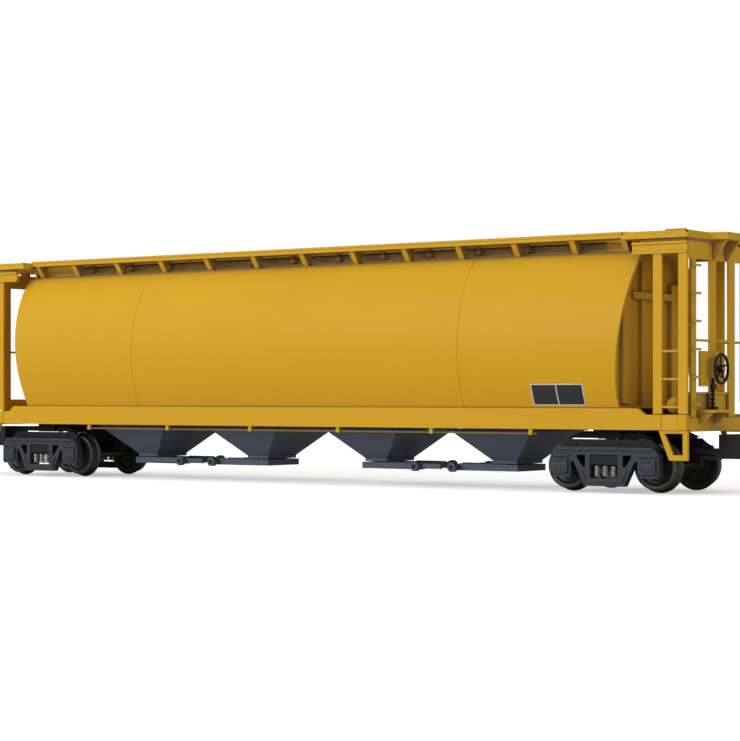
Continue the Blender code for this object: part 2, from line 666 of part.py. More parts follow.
# End panel: beam, ladder stile and two posts standing on the end deck
end_front = CAGE_END
end_back = CAGE_END - END_DEPTH
beam_half = SILL_HALF_WIDTH - CAGE_DEPTH - SEAT_GAP
end_beam_bottom = CAGE_TOP - END_BEAM_HEIGHT
end_foot = DECK_TOP + SEAT_GAP
uprights = [(END_STILE_Y, END_STILE_WIDTH), (END_STILE_Y + END_POST_PITCH, END_POST_WIDTH),
            (END_STILE_Y + 2 * END_POST_PITCH, END_POST_WIDTH)]
end_panel = box((end_back, end_front), (-beam_half, beam_half), (end_beam_bottom, CAGE_TOP))
end_bars = []
for y, width in uprights:
    end_bars.append(box((end_back, end_front), (y - width / 2, y + width / 2), (end_foot, end_beam_bottom + 1.0)))
bar_x = (end_front + end_back) / 2
rung_x = end_front + END_RUNG_STANDOFF
rung_reach = END_STILE_WIDTH / 2 + 1.0
for i in range(END_RUNGS):
    z = END_RUNG_Z + i * RUNG_PITCH
    end_bars.append(rod(RUNG_RADIUS, (rung_x, END_STILE_Y - rung_reach, z), (rung_x, END_STILE_Y + rung_reach, z), 8))
    end_bars.append(box((end_front - 0.4, rung_x), (END_STILE_Y - 0.6, END_STILE_Y + 0.6),
                        (z - RUNG_RADIUS * 0.8, z + RUNG_RADIUS * 0.8)))
end_bars.append(rod(RUNG_RADIUS, (bar_x, END_STILE_Y, END_RAIL_Z),
                    (bar_x, END_STILE_Y + 2 * END_POST_PITCH, END_RAIL_Z), 8))
end_panel = fused(end_panel, *end_bars)

# End deck: plate between the sills with a skirt down the end
deck_half = floor_half
deck = fused(box((DECK_START, CAGE_END), (-deck_half, deck_half), (DECK_TOP - DECK_THICKNESS, DECK_TOP)),
             box((end_back, CAGE_END), (-deck_half, deck_half), (DECK_TOP - DECK_SKIRT, DECK_TOP - 0.4)))

# End platform at walkway level: plan outline with a nose, rims on the cage, gussets and corner grabs
platform_start = WALK_HALF_LENGTH + SEAT_GAP
nose_x = CAGE_END + PLATFORM_REACH
platform_outline = [(platform_start, -SILL_HALF_WIDTH), (CAGE_END, -SILL_HALF_WIDTH),
                    (CAGE_END, -PLATFORM_NOSE - PLATFORM_NOSE_SLOPE), (nose_x, -PLATFORM_NOSE),
                    (nose_x, PLATFORM_NOSE), (CAGE_END, PLATFORM_NOSE + PLATFORM_NOSE_SLOPE),
                    (CAGE_END, SILL_HALF_WIDTH), (platform_start, SILL_HALF_WIDTH)]
platform = plate("XY", [platform_outline], WALK_BOTTOM, WALK_TOP)
platform_parts = []
rim_base = CAGE_TOP + SEAT_GAP
for sign in (-1, 1):
    rim = sorted((sign * (SILL_HALF_WIDTH - 1.5), sign * (SILL_HALF_WIDTH - CAGE_DEPTH)))
    platform_parts.append(box((platform_start + 0.4, CAGE_END - 1.5), rim, (rim_base, WALK_BOTTOM + 0.4)))
    gusset_y = sign * (PLATFORM_NOSE - 1.5)
    gusset = [(CAGE_END + SEAT_GAP, WALK_BOTTOM + 0.4), (nose_x - 0.8, WALK_BOTTOM + 0.4),
              (CAGE_END + 1.2, CAGE_TOP - GUSSET_DEPTH), (CAGE_END + SEAT_GAP, CAGE_TOP - GUSSET_DEPTH)]
    platform_parts.append(plate("XZ", [gusset], gusset_y - GUSSET_THICKNESS / 2, gusset_y + GUSSET_THICKNESS / 2))
    grab_y = sign * (SILL_HALF_WIDTH - 1.0)
    grab_end = CAGE_END - 1.0
    grab = [(grab_end - GRAB_SPAN, grab_y, WALK_TOP - 0.5), (grab_end - GRAB_SPAN, grab_y, WALK_TOP + GRAB_HEIGHT),
            (grab_end, grab_y, WALK_TOP + GRAB_HEIGHT), (grab_end, grab_y, WALK_TOP - 0.5)]
    platform_parts.append(wire(grab, GRAB_RADIUS))
platform = fused(platform, *platform_parts)

ends = {}
for name, turn in (("b", 0), ("a", 180)):
    end = empty("end_%s" % name, (0, 0, 0), turn)
    ends[name] = end
    placed("cage_ladder_side_%s" % name, ladder_panel, YELLOW, end)
    placed("cage_grab_side_%s" % name, grab_panel, YELLOW, end)
    placed("cage_end_%s" % name, end_panel, YELLOW, end)
    placed("end_deck_%s" % name, deck, YELLOW, end)
    placed("end_platform_%s" % name, platform, YELLOW, end)

# Brake stand: mounting plate across the stile and post, gear box and wheel shaft
plate_x = end_front + SEAT_GAP
plate_low = END_STILE_Y + rung_reach + SEAT_GAP
plate_high = END_STILE_Y + END_POST_PITCH + END_POST_WIDTH / 2
box_x = plate_x + BRAKE_PLATE_THICKNESS
box_front = box_x + BRAKE_BOX_DEPTH
hub_x = box_front + SEAT_GAP
stand = box((plate_x, box_x), (plate_low, plate_high),
            (BRAKE_WHEEL_Z - BRAKE_PLATE_HEIGHT / 2, BRAKE_WHEEL_Z + BRAKE_PLATE_HEIGHT / 2))
gear_box = box((box_x - 0.4, box_front),
               (BRAKE_WHEEL_Y - BRAKE_BOX_WIDTH / 2, BRAKE_WHEEL_Y + BRAKE_BOX_WIDTH / 2),
               (BRAKE_WHEEL_Z - BRAKE_BOX_HEIGHT / 2, BRAKE_WHEEL_Z + BRAKE_BOX_HEIGHT / 2))
wheel_shaft = rod(BRAKE_SHAFT_RADIUS, (box_front - 0.5, BRAKE_WHEEL_Y, BRAKE_WHEEL_Z),
                  (hub_x + BRAKE_HUB_LENGTH, BRAKE_WHEEL_Y, BRAKE_WHEEL_Z), 10)
placed("brake_stand", fused(stand, gear_box, wheel_shaft), YELLOW, ends["b"])

# Brake wheel: rim, dished spokes and bored hub, made about its own axis along X
rim_centre = BRAKE_WHEEL_RADIUS - BRAKE_WHEEL_RIM
rim_x = BRAKE_HUB_LENGTH / 2
rim_loop = []
for i in range(8):
    angle = 2 * math.pi * i / 8
    rim_loop.append((rim_centre + BRAKE_WHEEL_RIM * math.cos(angle), -BRAKE_WHEEL_RIM * math.sin(angle)))
rim = turned(rim_loop + [rim_loop[0]], 24)
rim.transform(Matrix.Translation((rim_x * MM, 0, 0)) @ Matrix.Rotation(-math.pi / 2, 4, "Z"))
spokes = [rod(BRAKE_HUB_RADIUS, (0, 0, 0), (BRAKE_HUB_LENGTH, 0, 0), 14)]
for i in range(BRAKE_WHEEL_SPOKES):
    angle = 2 * math.pi * i / BRAKE_WHEEL_SPOKES + math.pi / 2
    tip = (rim_x, rim_centre * math.cos(angle), rim_centre * math.sin(angle))
    spokes.append(rod(0.42, (rim_x, 0.9 * math.cos(angle), 0.9 * math.sin(angle)), tip, 6))
brake_wheel = fused(rim, *spokes)
bore = rod(BRAKE_SHAFT_RADIUS + RUNNING_GAP, (-1, 0, 0), (BRAKE_HUB_LENGTH + 1, 0, 0), 10)
placed("brake_wheel", drilled(brake_wheel, bore), BLACK, ends["b"], (hub_x, BRAKE_WHEEL_Y, BRAKE_WHEEL_Z))

# Brake step below the wheel, on two angle brackets off the end panel
step_low = plate_low + 0.4
step_high = plate_high - 0.5
step_plank = box((plate_x, plate_x + BRAKE_STEP_REACH), (step_low, step_high),
                 (BRAKE_STEP_Z, BRAKE_STEP_Z + BRAKE_STEP_THICKNESS))
step_webs = []
for y in (step_low + 1.2, step_high - 1.2):
    web = [(plate_x, BRAKE_STEP_Z + 0.3), (plate_x + BRAKE_STEP_REACH - 1.5, BRAKE_STEP_Z + 0.3),
           (plate_x + 1.2, BRAKE_STEP_Z - 4.0), (plate_x, BRAKE_STEP_Z - 4.0)]
    step_webs.append(plate("XZ", [web], y - 0.5, y + 0.5))
placed("brake_step", fused(step_plank, *step_webs), YELLOW, ends["b"])

# Air reservoir with domed ends on two saddles on the deck
res_z = DECK_TOP + SEAT_GAP + 1.2 + RESERVOIR_RADIUS
half = RESERVOIR_LENGTH / 2
dome = [(0.0, half), (RESERVOIR_RADIUS * 0.6, half - 0.4), (RESERVOIR_RADIUS * 0.9, half - 1.1),
        (RESERVOIR_RADIUS, half - 2.2)]
tank = turned(dome + [(r, -y) for r, y in reversed(dome)], 16)
tank.transform(Matrix.Translation((RESERVOIR_X * MM, 0, res_z * MM)))
saddles = []
for y in (-half * 0.55, half * 0.55):
    saddles.append(box((RESERVOIR_X - 2.0, RESERVOIR_X + 2.0), (y - 1.0, y + 1.0),
                       (DECK_TOP + SEAT_GAP, res_z - RESERVOIR_RADIUS * 0.5)))
placed("air_reservoir", fused(tank, *saddles), YELLOW, ends["b"])

# Wheelset: two flanged wheels on one axle with stepped journals
back = WHEEL_BACK_TO_BACK / 2
flange_out = back + FLANGE_WIDTH
wheel_face = flange_out + TREAD_WIDTH
journal_end = FRAME_INSIDE + FRAME_THICKNESS - 1.2
web_out = wheel_face - 1.1
half_profile = [(0.0, journal_end), (JOURNAL_RADIUS, journal_end), (JOURNAL_RADIUS, wheel_face + 0.4),
                (2.4, wheel_face + 0.2), (2.6, web_out), (6.6, web_out), (7.2, wheel_face),
                (TREAD_RADIUS - 0.1, wheel_face), (TREAD_RADIUS, flange_out), (FLANGE_RADIUS, flange_out - 0.5),
                (FLANGE_RADIUS, back + 0.2), (7.2, back), (AXLE_RADIUS, back)]
wheelset = turned(half_profile + [(r, -y) for r, y in reversed(half_profile)], WHEEL_SIDES)

# Truck side frame: cast outline with spring window and two side windows
half_base = WHEELBASE / 2
frame_end = half_base + FRAME_OVERHANG
box_low = AXLE_Z - BOX_HEIGHT / 2
box_high = AXLE_Z + BOX_HEIGHT / 2
jaw = half_base - FRAME_OVERHANG
jaw_top = AXLE_Z + BOX_HEIGHT / 2 - 2.2
frame_half = [(FRAME_FOOT / 2, FRAME_BOTTOM), (jaw - 1.2, jaw_top), (jaw, jaw_top), (jaw, box_low + 0.7),
              (jaw + 0.7, box_low), (frame_end - 0.7, box_low), (frame_end, box_low + 0.7),
              (frame_end, FRAME_TOP - FRAME_SHOULDER * 1.2), (frame_end - FRAME_SHOULDER, FRAME_TOP)]
window = BOLSTER_WIDTH / 2 + SEAT_GAP
window_low = SPRING_SEAT - SEAT_GAP
window_high = BOLSTER_TOP + SEAT_GAP
spring_window = [(-window, window_low), (window, window_low), (window, window_high), (-window, window_high)]
column = window + 2.0
lightening = [(column, window_high - 0.1), (column + 3.6, window_high - 0.1), (column + 3.7, window_high - 1.1),
              (column + 1.2, AXLE_Z - 0.2), (column, AXLE_Z - 0.2)]
frame_plate = plate("XZ", [mirrored(frame_half), spring_window, lightening, [(-u, v) for u, v in lightening]],
                    -FRAME_OUTSIDE, -FRAME_INSIDE)
caps = []
sockets = []
for sign in (-1, 1):
    x = sign * half_base
    cap_half = BEARING_CAP_WIDTH / 2
    cap_low = AXLE_Z - BEARING_CAP_HEIGHT / 2
    cap_high = AXLE_Z + BEARING_CAP_HEIGHT / 2
    cap = [(x - cap_half, cap_low + 1.0), (x - cap_half + 1.0, cap_low), (x + cap_half - 1.0, cap_low),
           (x + cap_half, cap_low + 1.0), (x + cap_half, cap_high), (x - cap_half, cap_high)]
    caps.append(plate("XZ", [cap], -FRAME_OUTSIDE - BEARING_CAP_DEPTH, -FRAME_OUTSIDE + 0.4))
    caps.append(box((x - cap_half - 0.4, x + cap_half + 0.4), (-FRAME_OUTSIDE - FRAME_RIB, -FRAME_OUTSIDE + 0.4),
                    (cap_high + 0.9, cap_high + 1.7)))
    sockets.append(rod(JOURNAL_RADIUS + RUNNING_GAP, (x, -FRAME_INSIDE + 1, AXLE_Z),
                       (x, -journal_end - SEAT_GAP, AXLE_Z), 14))
chord_half = frame_end - FRAME_SHOULDER - 0.4
caps.append(box((-chord_half, chord_half), (-FRAME_OUTSIDE - FRAME_RIB, -FRAME_OUTSIDE + 0.4),
                (FRAME_TOP - 1.2, FRAME_TOP - 0.1)))
tray = mirrored([(column - 0.5, window_low - 0.9), (column + 1.5, AXLE_Z - 0.9)])
tray_lip = mirrored([(column - 0.1, window_low - 1.5), (column + 2.2, AXLE_Z - 1.2)])
tray = [tray_lip[1], tray_lip[0], tray_lip[3], tray_lip[2], tray[2], tray[3], tray[0], tray[1]]
caps.append(plate("XZ", [tray], -FRAME_OUTSIDE - FRAME_RIB * 0.7, -FRAME_OUTSIDE + 0.4))
frame_plate = drilled(fused(frame_plate, *caps), *sockets)

# Truck bolster: cross beam, centre plate, side bearings and the coupler tongue with its stud
bolster_end = FRAME_OUTSIDE - 0.3
cross = box((-BOLSTER_WIDTH / 2, BOLSTER_WIDTH / 2), (-bolster_end, bolster_end), (BOLSTER_BOTTOM, BOLSTER_TOP))
tongue_low = BOLSTER_TOP - TONGUE_THICKNESS
stud_top = BOLSTER_TOP + SEAT_GAP + SHANK_HEIGHT + SEAT_GAP
tongue_end = COUPLER_PIVOT + TONGUE_WIDTH / 2
bearings = []
for sign in (-1, 1):
    bearing_y = sorted((sign * SIDE_BEARING_Y, sign * (SIDE_BEARING_Y + SIDE_BEARING_WIDTH)))
    bearings.append(box((-SIDE_BEARING_LENGTH / 2, SIDE_BEARING_LENGTH / 2), bearing_y,
                        (BOLSTER_TOP - 0.3, UNDERFRAME_BOTTOM - RUNNING_GAP)))
bolster = fused(cross, *bearings, rod(CENTRE_PLATE_RADIUS, (0, 0, BOLSTER_TOP - 0.5), (0, 0, CENTRE_PLATE_TOP), 20),
                box((0, tongue_end), (-TONGUE_WIDTH / 2, TONGUE_WIDTH / 2), (tongue_low, BOLSTER_TOP)),
                rod(COUPLER_STUD_RADIUS, (COUPLER_PIVOT, 0, tongue_low + 0.4), (COUPLER_PIVOT, 0, stud_top + 0.4), 14),
                rod(COUPLER_STUD_HEAD, (COUPLER_PIVOT, 0, stud_top), (COUPLER_PIVOT, 0, stud_top + 0.9), 14))
bolster = drilled(bolster, rod(KINGPIN_RADIUS + RUNNING_GAP, (0, 0, BOLSTER_BOTTOM - 1), (0, 0, CENTRE_PLATE_TOP + 1), 16))

# Kingpin screw from below the bolster up into the body bolster, with the collar that carries the car
head_top = BOLSTER_BOTTOM - SEAT_GAP
kingpin = fused(rod(KINGPIN_RADIUS, (0, 0, head_top - 0.4), (0, 0, pin_top), 16),
                rod(CENTRE_PLATE_RADIUS, (0, 0, COLLAR_BOTTOM), (0, 0, COLLAR_TOP), 20),
                rod(KINGPIN_HEAD_RADIUS, (0, 0, head_top - KINGPIN_HEAD_HEIGHT), (0, 0, head_top), 16))

# Coupler: bored shank, head with guard arm, lower lug and knuckle pin, about its pivot
shank_low = BOLSTER_TOP + SEAT_GAP
shank_high = shank_low + SHANK_HEIGHT
head_x = COUPLER_REACH - COUPLER_PIVOT
head_low = shank_low - LUG_HEIGHT
head_high = head_low + HEAD_HEIGHT
half_head = HEAD_WIDTH / 2
knuckle_x = head_x - 5.0
knuckle_y = half_head - 2.6
shank = plate("XY", [[(-3.4, -SHANK_WIDTH / 2), (head_x - 11.0, -SHANK_WIDTH / 2), (head_x - 11.0, SHANK_WIDTH / 2),
                      (-3.4, SHANK_WIDTH / 2)]], shank_low, shank_high)
head_base = head_x - 14.2
guard = plate("XY", [[(head_base, -half_head), (head_x, -half_head), (head_x, -half_head + 2.4),
                      (head_x - 4.4, -half_head + 4.2), (head_x - 9.0, -half_head + 5.0),
                      (head_x - 9.0, half_head), (head_base, half_head)]], head_low, head_high)
lug = rod(2.6, (knuckle_x, knuckle_y, head_low), (knuckle_x, knuckle_y, head_low + LUG_HEIGHT), 14)
lug_arm = box((head_base + 1, knuckle_x), (knuckle_y - 2.0, knuckle_y + 2.0), (head_low, head_low + LUG_HEIGHT))
knuckle_pin = rod(KNUCKLE_PIN_RADIUS, (knuckle_x, knuckle_y, head_low + 0.4), (knuckle_x, knuckle_y, head_high), 12)
coupler = fused(shank, guard, lug_arm, lug, knuckle_pin)
coupler = drilled(coupler, rod(COUPLER_STUD_RADIUS + RUNNING_GAP, (0, 0, shank_low - 1), (0, 0, shank_high + 1), 14))

# Knuckle: hooked arm on the pin, about its own pin axis
knuckle_low = head_low + LUG_HEIGHT + SEAT_GAP
hook = [(-2.6, -2.0), (-2.6, 2.6), (2.4, 2.6), (5.0, 0.6), (5.0, -5.4), (3.4, -6.2), (1.8, -5.4), (1.8, -1.8)]
knuckle = drilled(plate("XY", [hook], knuckle_low, head_high),
                  rod(KNUCKLE_PIN_RADIUS + RUNNING_GAP, (0, 0, knuckle_low - 1), (0, 0, head_high + 1), 12))


# Coil spring: one unbroken helix with its ends run straight into the seats
def spring_path(height):
    rise = height - 2 * SPRING_WIRE / 2
    points = []
    count = SPRING_TURNS * SPRING_POINTS
    for i in range(count + 1):
        angle = 2 * math.pi * i / SPRING_POINTS
        points.append((SPRING_RADIUS * math.cos(angle), SPRING_RADIUS * math.sin(angle),
                       SPRING_WIRE / 2 + rise * i / count))
    return points


spring_height = BOLSTER_BOTTOM - SPRING_SEAT - SEAT_GAP
path = spring_path(spring_height)
least_gap = min(math.dist(p, q) for i, p in enumerate(path) for q in path[i + SPRING_POINTS // 2:]) - SPRING_WIRE
print("least gap between spring turns, mm:", round(least_gap, 3))
spring = wire(path, SPRING_WIRE / 2)

for name, turn in (("b", 0), ("a", 180)):
    sign = 1 if name == "b" else -1
    truck = empty("truck_%s" % name, (sign * truck_x, 0, 0), turn)
    placed("truck_bolster_%s" % name, bolster, BLACK, truck)
    placed("kingpin_%s" % name, kingpin, STEEL, truck)
    for side, half_turn in (("left", 0), ("right", 180)):
        flank = empty("truck_%s_%s" % (name, side), (0, 0, 0), half_turn)
        flank.parent = truck
        placed("truck_frame_%s_%s" % (name, side), frame_plate, TRUCK_GREY, flank)
        for i in range(SPRING_COUNT):
            x = (i - (SPRING_COUNT - 1) / 2) * SPRING_PITCH
            y = -(FRAME_INSIDE + FRAME_OUTSIDE) / 2
            placed("spring_%s_%s_%d" % (name, side, i + 1), spring, STEEL, flank, (x, y, SPRING_SEAT))
    for axle, x in (("outer", half_base), ("inner", -half_base)):
        placed("wheelset_%s_%s" % (name, axle), wheelset, WHEEL_METAL, truck, (x, 0, AXLE_Z))
    joint = empty("coupler_pivot_%s" % name, (COUPLER_PIVOT, 0, 0))
    joint.parent = truck
    placed("coupler_%s" % name, coupler, BLACK, joint)
    placed("knuckle_%s" % name, knuckle, BLACK, joint, (knuckle_x, knuckle_y, 0))

for thing in car.objects:
    if thing.type == "MESH":
        thing.data.shade_smooth()
        thing.data.set_sharp_from_angle(angle=math.radians(35))
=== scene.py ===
# Looks for the model hopper car: paint, castings, small fittings, studio light and the photographed view.
import json
import math

import bmesh
import bpy
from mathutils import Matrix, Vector


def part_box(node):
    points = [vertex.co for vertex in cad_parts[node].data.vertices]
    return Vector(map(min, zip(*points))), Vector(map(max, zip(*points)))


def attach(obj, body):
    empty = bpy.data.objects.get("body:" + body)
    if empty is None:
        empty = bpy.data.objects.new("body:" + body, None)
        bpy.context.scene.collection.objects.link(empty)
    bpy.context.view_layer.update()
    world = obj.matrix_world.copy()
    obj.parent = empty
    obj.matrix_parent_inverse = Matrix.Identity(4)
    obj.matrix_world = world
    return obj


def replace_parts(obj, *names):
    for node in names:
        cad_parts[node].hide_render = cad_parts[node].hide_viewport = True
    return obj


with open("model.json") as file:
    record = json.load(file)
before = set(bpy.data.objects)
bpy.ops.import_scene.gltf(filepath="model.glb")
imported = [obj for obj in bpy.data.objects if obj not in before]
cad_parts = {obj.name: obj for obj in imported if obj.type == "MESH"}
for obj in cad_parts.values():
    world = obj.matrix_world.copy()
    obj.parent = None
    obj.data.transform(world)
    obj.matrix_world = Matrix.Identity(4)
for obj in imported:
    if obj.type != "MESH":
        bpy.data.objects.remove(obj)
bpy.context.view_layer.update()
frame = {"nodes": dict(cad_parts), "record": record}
nodes = frame["nodes"]
MM = 0.001
PER_METRE = 1000
ROUNDED_EDGE_MM = 0.25


def srgb(hex_colour):
    """Linear RGBA of an sRGB hex value."""
    channels = [int(hex_colour[i:i + 2], 16) / 255 for i in (1, 3, 5)]
    return [c / 12.92 if c <= 0.04045 else ((c + 0.055) / 1.055) ** 2.4 for c in channels] + [1.0]


def add_node(tree, kind, settings=None, links=None):
    """Add a node, set its properties and sockets, and link its sockets from other nodes."""
    made = tree.nodes.new(kind)
    for key, value in (settings or {}).items():
        if isinstance(key, str) and hasattr(made, key):
            setattr(made, key, value)
        else:
            made.inputs[key].default_value = value
    for key, source in (links or {}).items():
        tree.links.new(source, made.inputs[key])
    return made


def finish_of(name, light, dark, shade, edge_rub_and_highlight_colour, roughness, spread, grit_mm, patch_mm, bump_mm,
              edge_rub_and_highlight=0.0, metallic=0.0, specular=0.5, crevice_mm=4.0):
    """Painted or bare surface: cloudy colour, painted shade in crevices, edges lightened as rubbing and as a
    painted highlight, grit in gloss and bump.
    """
    material = bpy.data.materials.new(name)
    material.use_nodes = True
    tree = material.node_tree
    shader = tree.nodes["Principled BSDF"]
    shader.inputs["Metallic"].default_value = metallic
    shader.inputs["Specular IOR Level"].default_value = specular
    place = {"Vector": add_node(tree, "ShaderNodeTexCoord").outputs["Object"]}
    clouds = {"Scale": PER_METRE / patch_mm, "Detail": 4.0, "Roughness": 0.6}
    patch = add_node(tree, "ShaderNodeTexNoise", clouds, place).outputs["Fac"]
    grains = {"Scale": PER_METRE / grit_mm, "Detail": 2.0}
    grit = add_node(tree, "ShaderNodeTexNoise", grains, place).outputs["Fac"]
    cloudy = {"data_type": "RGBA", "A": srgb(dark), "B": srgb(light)}
    colour = add_node(tree, "ShaderNodeMix", cloudy, {"Factor": patch}).outputs["Result"]
    # Painted shade where pieces meet: colour drawn towards the shade colour where ambient occlusion finds
    # nearby surfaces
    near = {"samples": 8, "Distance": crevice_mm * MM}
    hollow = add_node(tree, "ShaderNodeAmbientOcclusion", near).outputs["AO"]
    opening = {"From Min": 0.15, "From Max": 0.75}
    open_air = add_node(tree, "ShaderNodeMapRange", opening, {"Value": hollow}).outputs["Result"]
    colour = add_node(tree, "ShaderNodeMix", {"data_type": "RGBA", "A": srgb(shade)},
                      {"Factor": open_air, "B": colour}).outputs["Result"]
    # Softly rounded edges, coloured lighter as a little rubbing and as a painted highlight
    rounding = {"samples": 6, "Radius": ROUNDED_EDGE_MM * MM}
    rounded = add_node(tree, "ShaderNodeBevel", rounding).outputs["Normal"]
    flat = add_node(tree, "ShaderNodeNewGeometry").outputs["Normal"]
    turn = add_node(tree, "ShaderNodeVectorMath", {"operation": "DOT_PRODUCT"},
                    {0: rounded, 1: flat}).outputs["Value"]
    rub_and_highlight_range = {"From Min": 0.98, "From Max": 0.75, "To Max": edge_rub_and_highlight}
    rubbed_and_highlit = add_node(tree, "ShaderNodeMapRange", rub_and_highlight_range, {"Value": turn}).outputs["Result"]
    colour = add_node(tree, "ShaderNodeMix", {"data_type": "RGBA", "B": srgb(edge_rub_and_highlight_colour)},
                      {"Factor": rubbed_and_highlit, "A": colour}).outputs["Result"]
    sheen = {"To Min": roughness - spread, "To Max": roughness + spread}
    gloss = add_node(tree, "ShaderNodeMapRange", sheen, {"Value": grit}).outputs["Result"]
    relief = {"Strength": 0.5, "Distance": bump_mm * MM}
    bump = add_node(tree, "ShaderNodeBump", relief, {"Height": grit, "Normal": rounded}).outputs["Normal"]
    tree.links.new(colour, shader.inputs["Base Color"])
    tree.links.new(gloss, shader.inputs["Roughness"])
    tree.links.new(bump, shader.inputs["Normal"])
    return material


# Satin enamel sprayed on moulded ABS: even warm colour, soft sheen, faint orange peel, painted brown shade
# in the corners
yellow_enamel = finish_of("yellow_enamel_on_abs", "#DBAA26", "#D4A224", "#86735A", "#E0B23A",
                          roughness=0.42, spread=0.05, grit_mm=0.9, patch_mm=60, bump_mm=0.015,
                          edge_rub_and_highlight=0.25, specular=0.12, crevice_mm=14.0)
# The same moulding on the hung strips, coloured dull tan as painted shade
shaded_strip_enamel = finish_of("tan_painted_shade_on_abs", "#8F7A4A", "#7E6B42", "#4E4430", "#9A8656",
                        roughness=0.6, spread=0.06, grit_mm=0.7, patch_mm=20, bump_mm=0.015,
                        specular=0.12, crevice_mm=6.0)
# Moulded grey ABS left in its own colour: blue-grey satin, slightly cloudy
grey_abs = finish_of("dark_grey_moulded_abs", "#596273", "#4E5666", "#22262D", "#636A77",
                     roughness=0.5, spread=0.07, grit_mm=0.7, patch_mm=18, bump_mm=0.02,
                     edge_rub_and_highlight=0.3, specular=0.35, crevice_mm=5.0)
# Moulded black ABS: dull, almost without highlights
black_abs = finish_of("black_moulded_abs", "#17191B", "#101213", "#08090A", "#242628",
                      roughness=0.65, spread=0.08, grit_mm=0.6, patch_mm=15, bump_mm=0.02,
                      edge_rub_and_highlight=0.3, specular=0.2, crevice_mm=10.0)
# Zinc castings under thin grey paint: blue-grey, casting grain, metal showing on the edges, which are also
# lightened as a painted highlight
grey_zinc = finish_of("grey_painted_zinc_casting", "#3A3F49", "#2F333B", "#14161A", "#7A7E86",
                      roughness=0.5, spread=0.08, grit_mm=0.5, patch_mm=6, bump_mm=0.03,
                      edge_rub_and_highlight=0.4, metallic=0.1, specular=0.35)
# Zinc castings, chemically blackened: soft sheen, near black
black_zinc = finish_of("blackened_zinc_casting", "#1B1D1F", "#121415", "#08090A", "#3C3D3F",
                       roughness=0.5, spread=0.08, grit_mm=0.5, patch_mm=8, bump_mm=0.03,
                       edge_rub_and_highlight=0.4, metallic=0.1, specular=0.3, crevice_mm=8.0)
# Bare drawn spring wire: bright, drawn lines too fine to see
spring_wire = finish_of("bare_spring_wire", "#C8C5BE", "#A5A29C", "#4A4845", "#DAD7D0",
                        roughness=0.3, spread=0.06, grit_mm=0.4, patch_mm=3, bump_mm=0.01,
                        metallic=1.0, crevice_mm=0.8)
# Turned steel wheels, chemically blackened: olive grey, edges rubbed brighter and lightened further as a
# painted highlight
wheel_metal = finish_of("blackened_turned_steel", "#4B4E46", "#3B3E37", "#191A17", "#74766F",
                        roughness=0.42, spread=0.08, grit_mm=0.5, patch_mm=5, bump_mm=0.01,
                        edge_rub_and_highlight=0.4, metallic=0.5, crevice_mm=8.0)
# Black satin print on the bare side panels, and the fine pale line round it
panel_black = finish_of("black_satin_print", "#26272A", "#1E2022", "#141516", "#303134",
                        roughness=0.5, spread=0.05, grit_mm=0.6, patch_mm=10, bump_mm=0.005)
panel_line = finish_of("pale_line_print", "#D9D6CB", "#C9C6BA", "#8F8B80", "#E2DFD5",
                       roughness=0.5, spread=0.05, grit_mm=0.6, patch_mm=10, bump_mm=0.005)

finishes = {"yellow_paint": yellow_enamel, "grey_plastic": grey_abs, "black_plastic": black_abs,
            "black_diecast": black_zinc, "grey_diecast": grey_zinc, "bright_steel": spring_wire,
            "blackened_metal": wheel_metal}

# Smooth shading across curved faces only, as on a moulding; edges sharper than this stay crisp
CRISP_EDGE = math.radians(35)
WELD_METRES = 2e-6
moulded = bpy.data.node_groups.new("moulded_shading", "GeometryNodeTree")
for direction in ("INPUT", "OUTPUT"):
    moulded.interface.new_socket("Geometry", in_out=direction, socket_type="NodeSocketGeometry")
raw = add_node(moulded, "NodeGroupInput").outputs[0]
welded = add_node(moulded, "GeometryNodeMergeByDistance", {"Distance": WELD_METRES},
                  {"Geometry": raw}).outputs["Geometry"]
edge_turn = add_node(moulded, "GeometryNodeInputMeshEdgeAngle").outputs["Unsigned Angle"]
crisp = add_node(moulded, "FunctionNodeCompare", {"operation": "GREATER_THAN", 1: CRISP_EDGE},
                 {0: edge_turn}).outputs["Result"]
shaded = add_node(moulded, "GeometryNodeSetMeshNormal", None,
                  {"Mesh": welded, "Edge Sharpness": crisp}).outputs["Mesh"]
add_node(moulded, "NodeGroupOutput", None, {0: shaded})

for part in frame["record"]["subparts"]:
    thing = nodes[part["node"]]
    thing.data.materials.clear()
    thing.data.materials.append(finishes[part["material_slot"]])
    thing.modifiers.new("moulded_shading", "NODES").node_group = moulded

# Forms are drawn in millimetres in the car's frame
WELD_MM = 1e-5
ALONG, ACROSS, UP = (1, 0, 0), (0, 1, 0), (0, 0, 1)


def angles(count):
    """Angles spread evenly over one turn."""
    return [2 * math.pi * k / count for k in range(count)]


def skin(form, rows, capped=True):
    """Quad sheet through closed rows of points; capped closes the first and last row."""
    drawn = [[form.verts.new(p) for p in row] for row in rows]
    count = len(drawn[0])
    for low, high in zip(drawn, drawn[1:]):
        for i in range(count):
            j = (i + 1) % count
            form.faces.new((low[i], low[j], high[j], high[i]))
    if capped:
        form.faces.new(reversed(drawn[0]))
        form.faces.new(drawn[-1])


def bar(form, low, high, chamfer=0.0):
    """Rectangular bar between two corners, its upright edges chamfered if asked."""
    (x0, y0, z0), (x1, y1, z1) = low, high
    c = chamfer
    plan = [(x0, y0), (x1, y0), (x1, y1), (x0, y1)]
    if c:
        plan = [(x0 + c, y0), (x1 - c, y0), (x1, y0 + c), (x1, y1 - c),
                (x1 - c, y1), (x0 + c, y1), (x0, y1 - c), (x0, y0 + c)]
    skin(form, [[(x, y, z) for x, y in plan] for z in (z0, z1)])


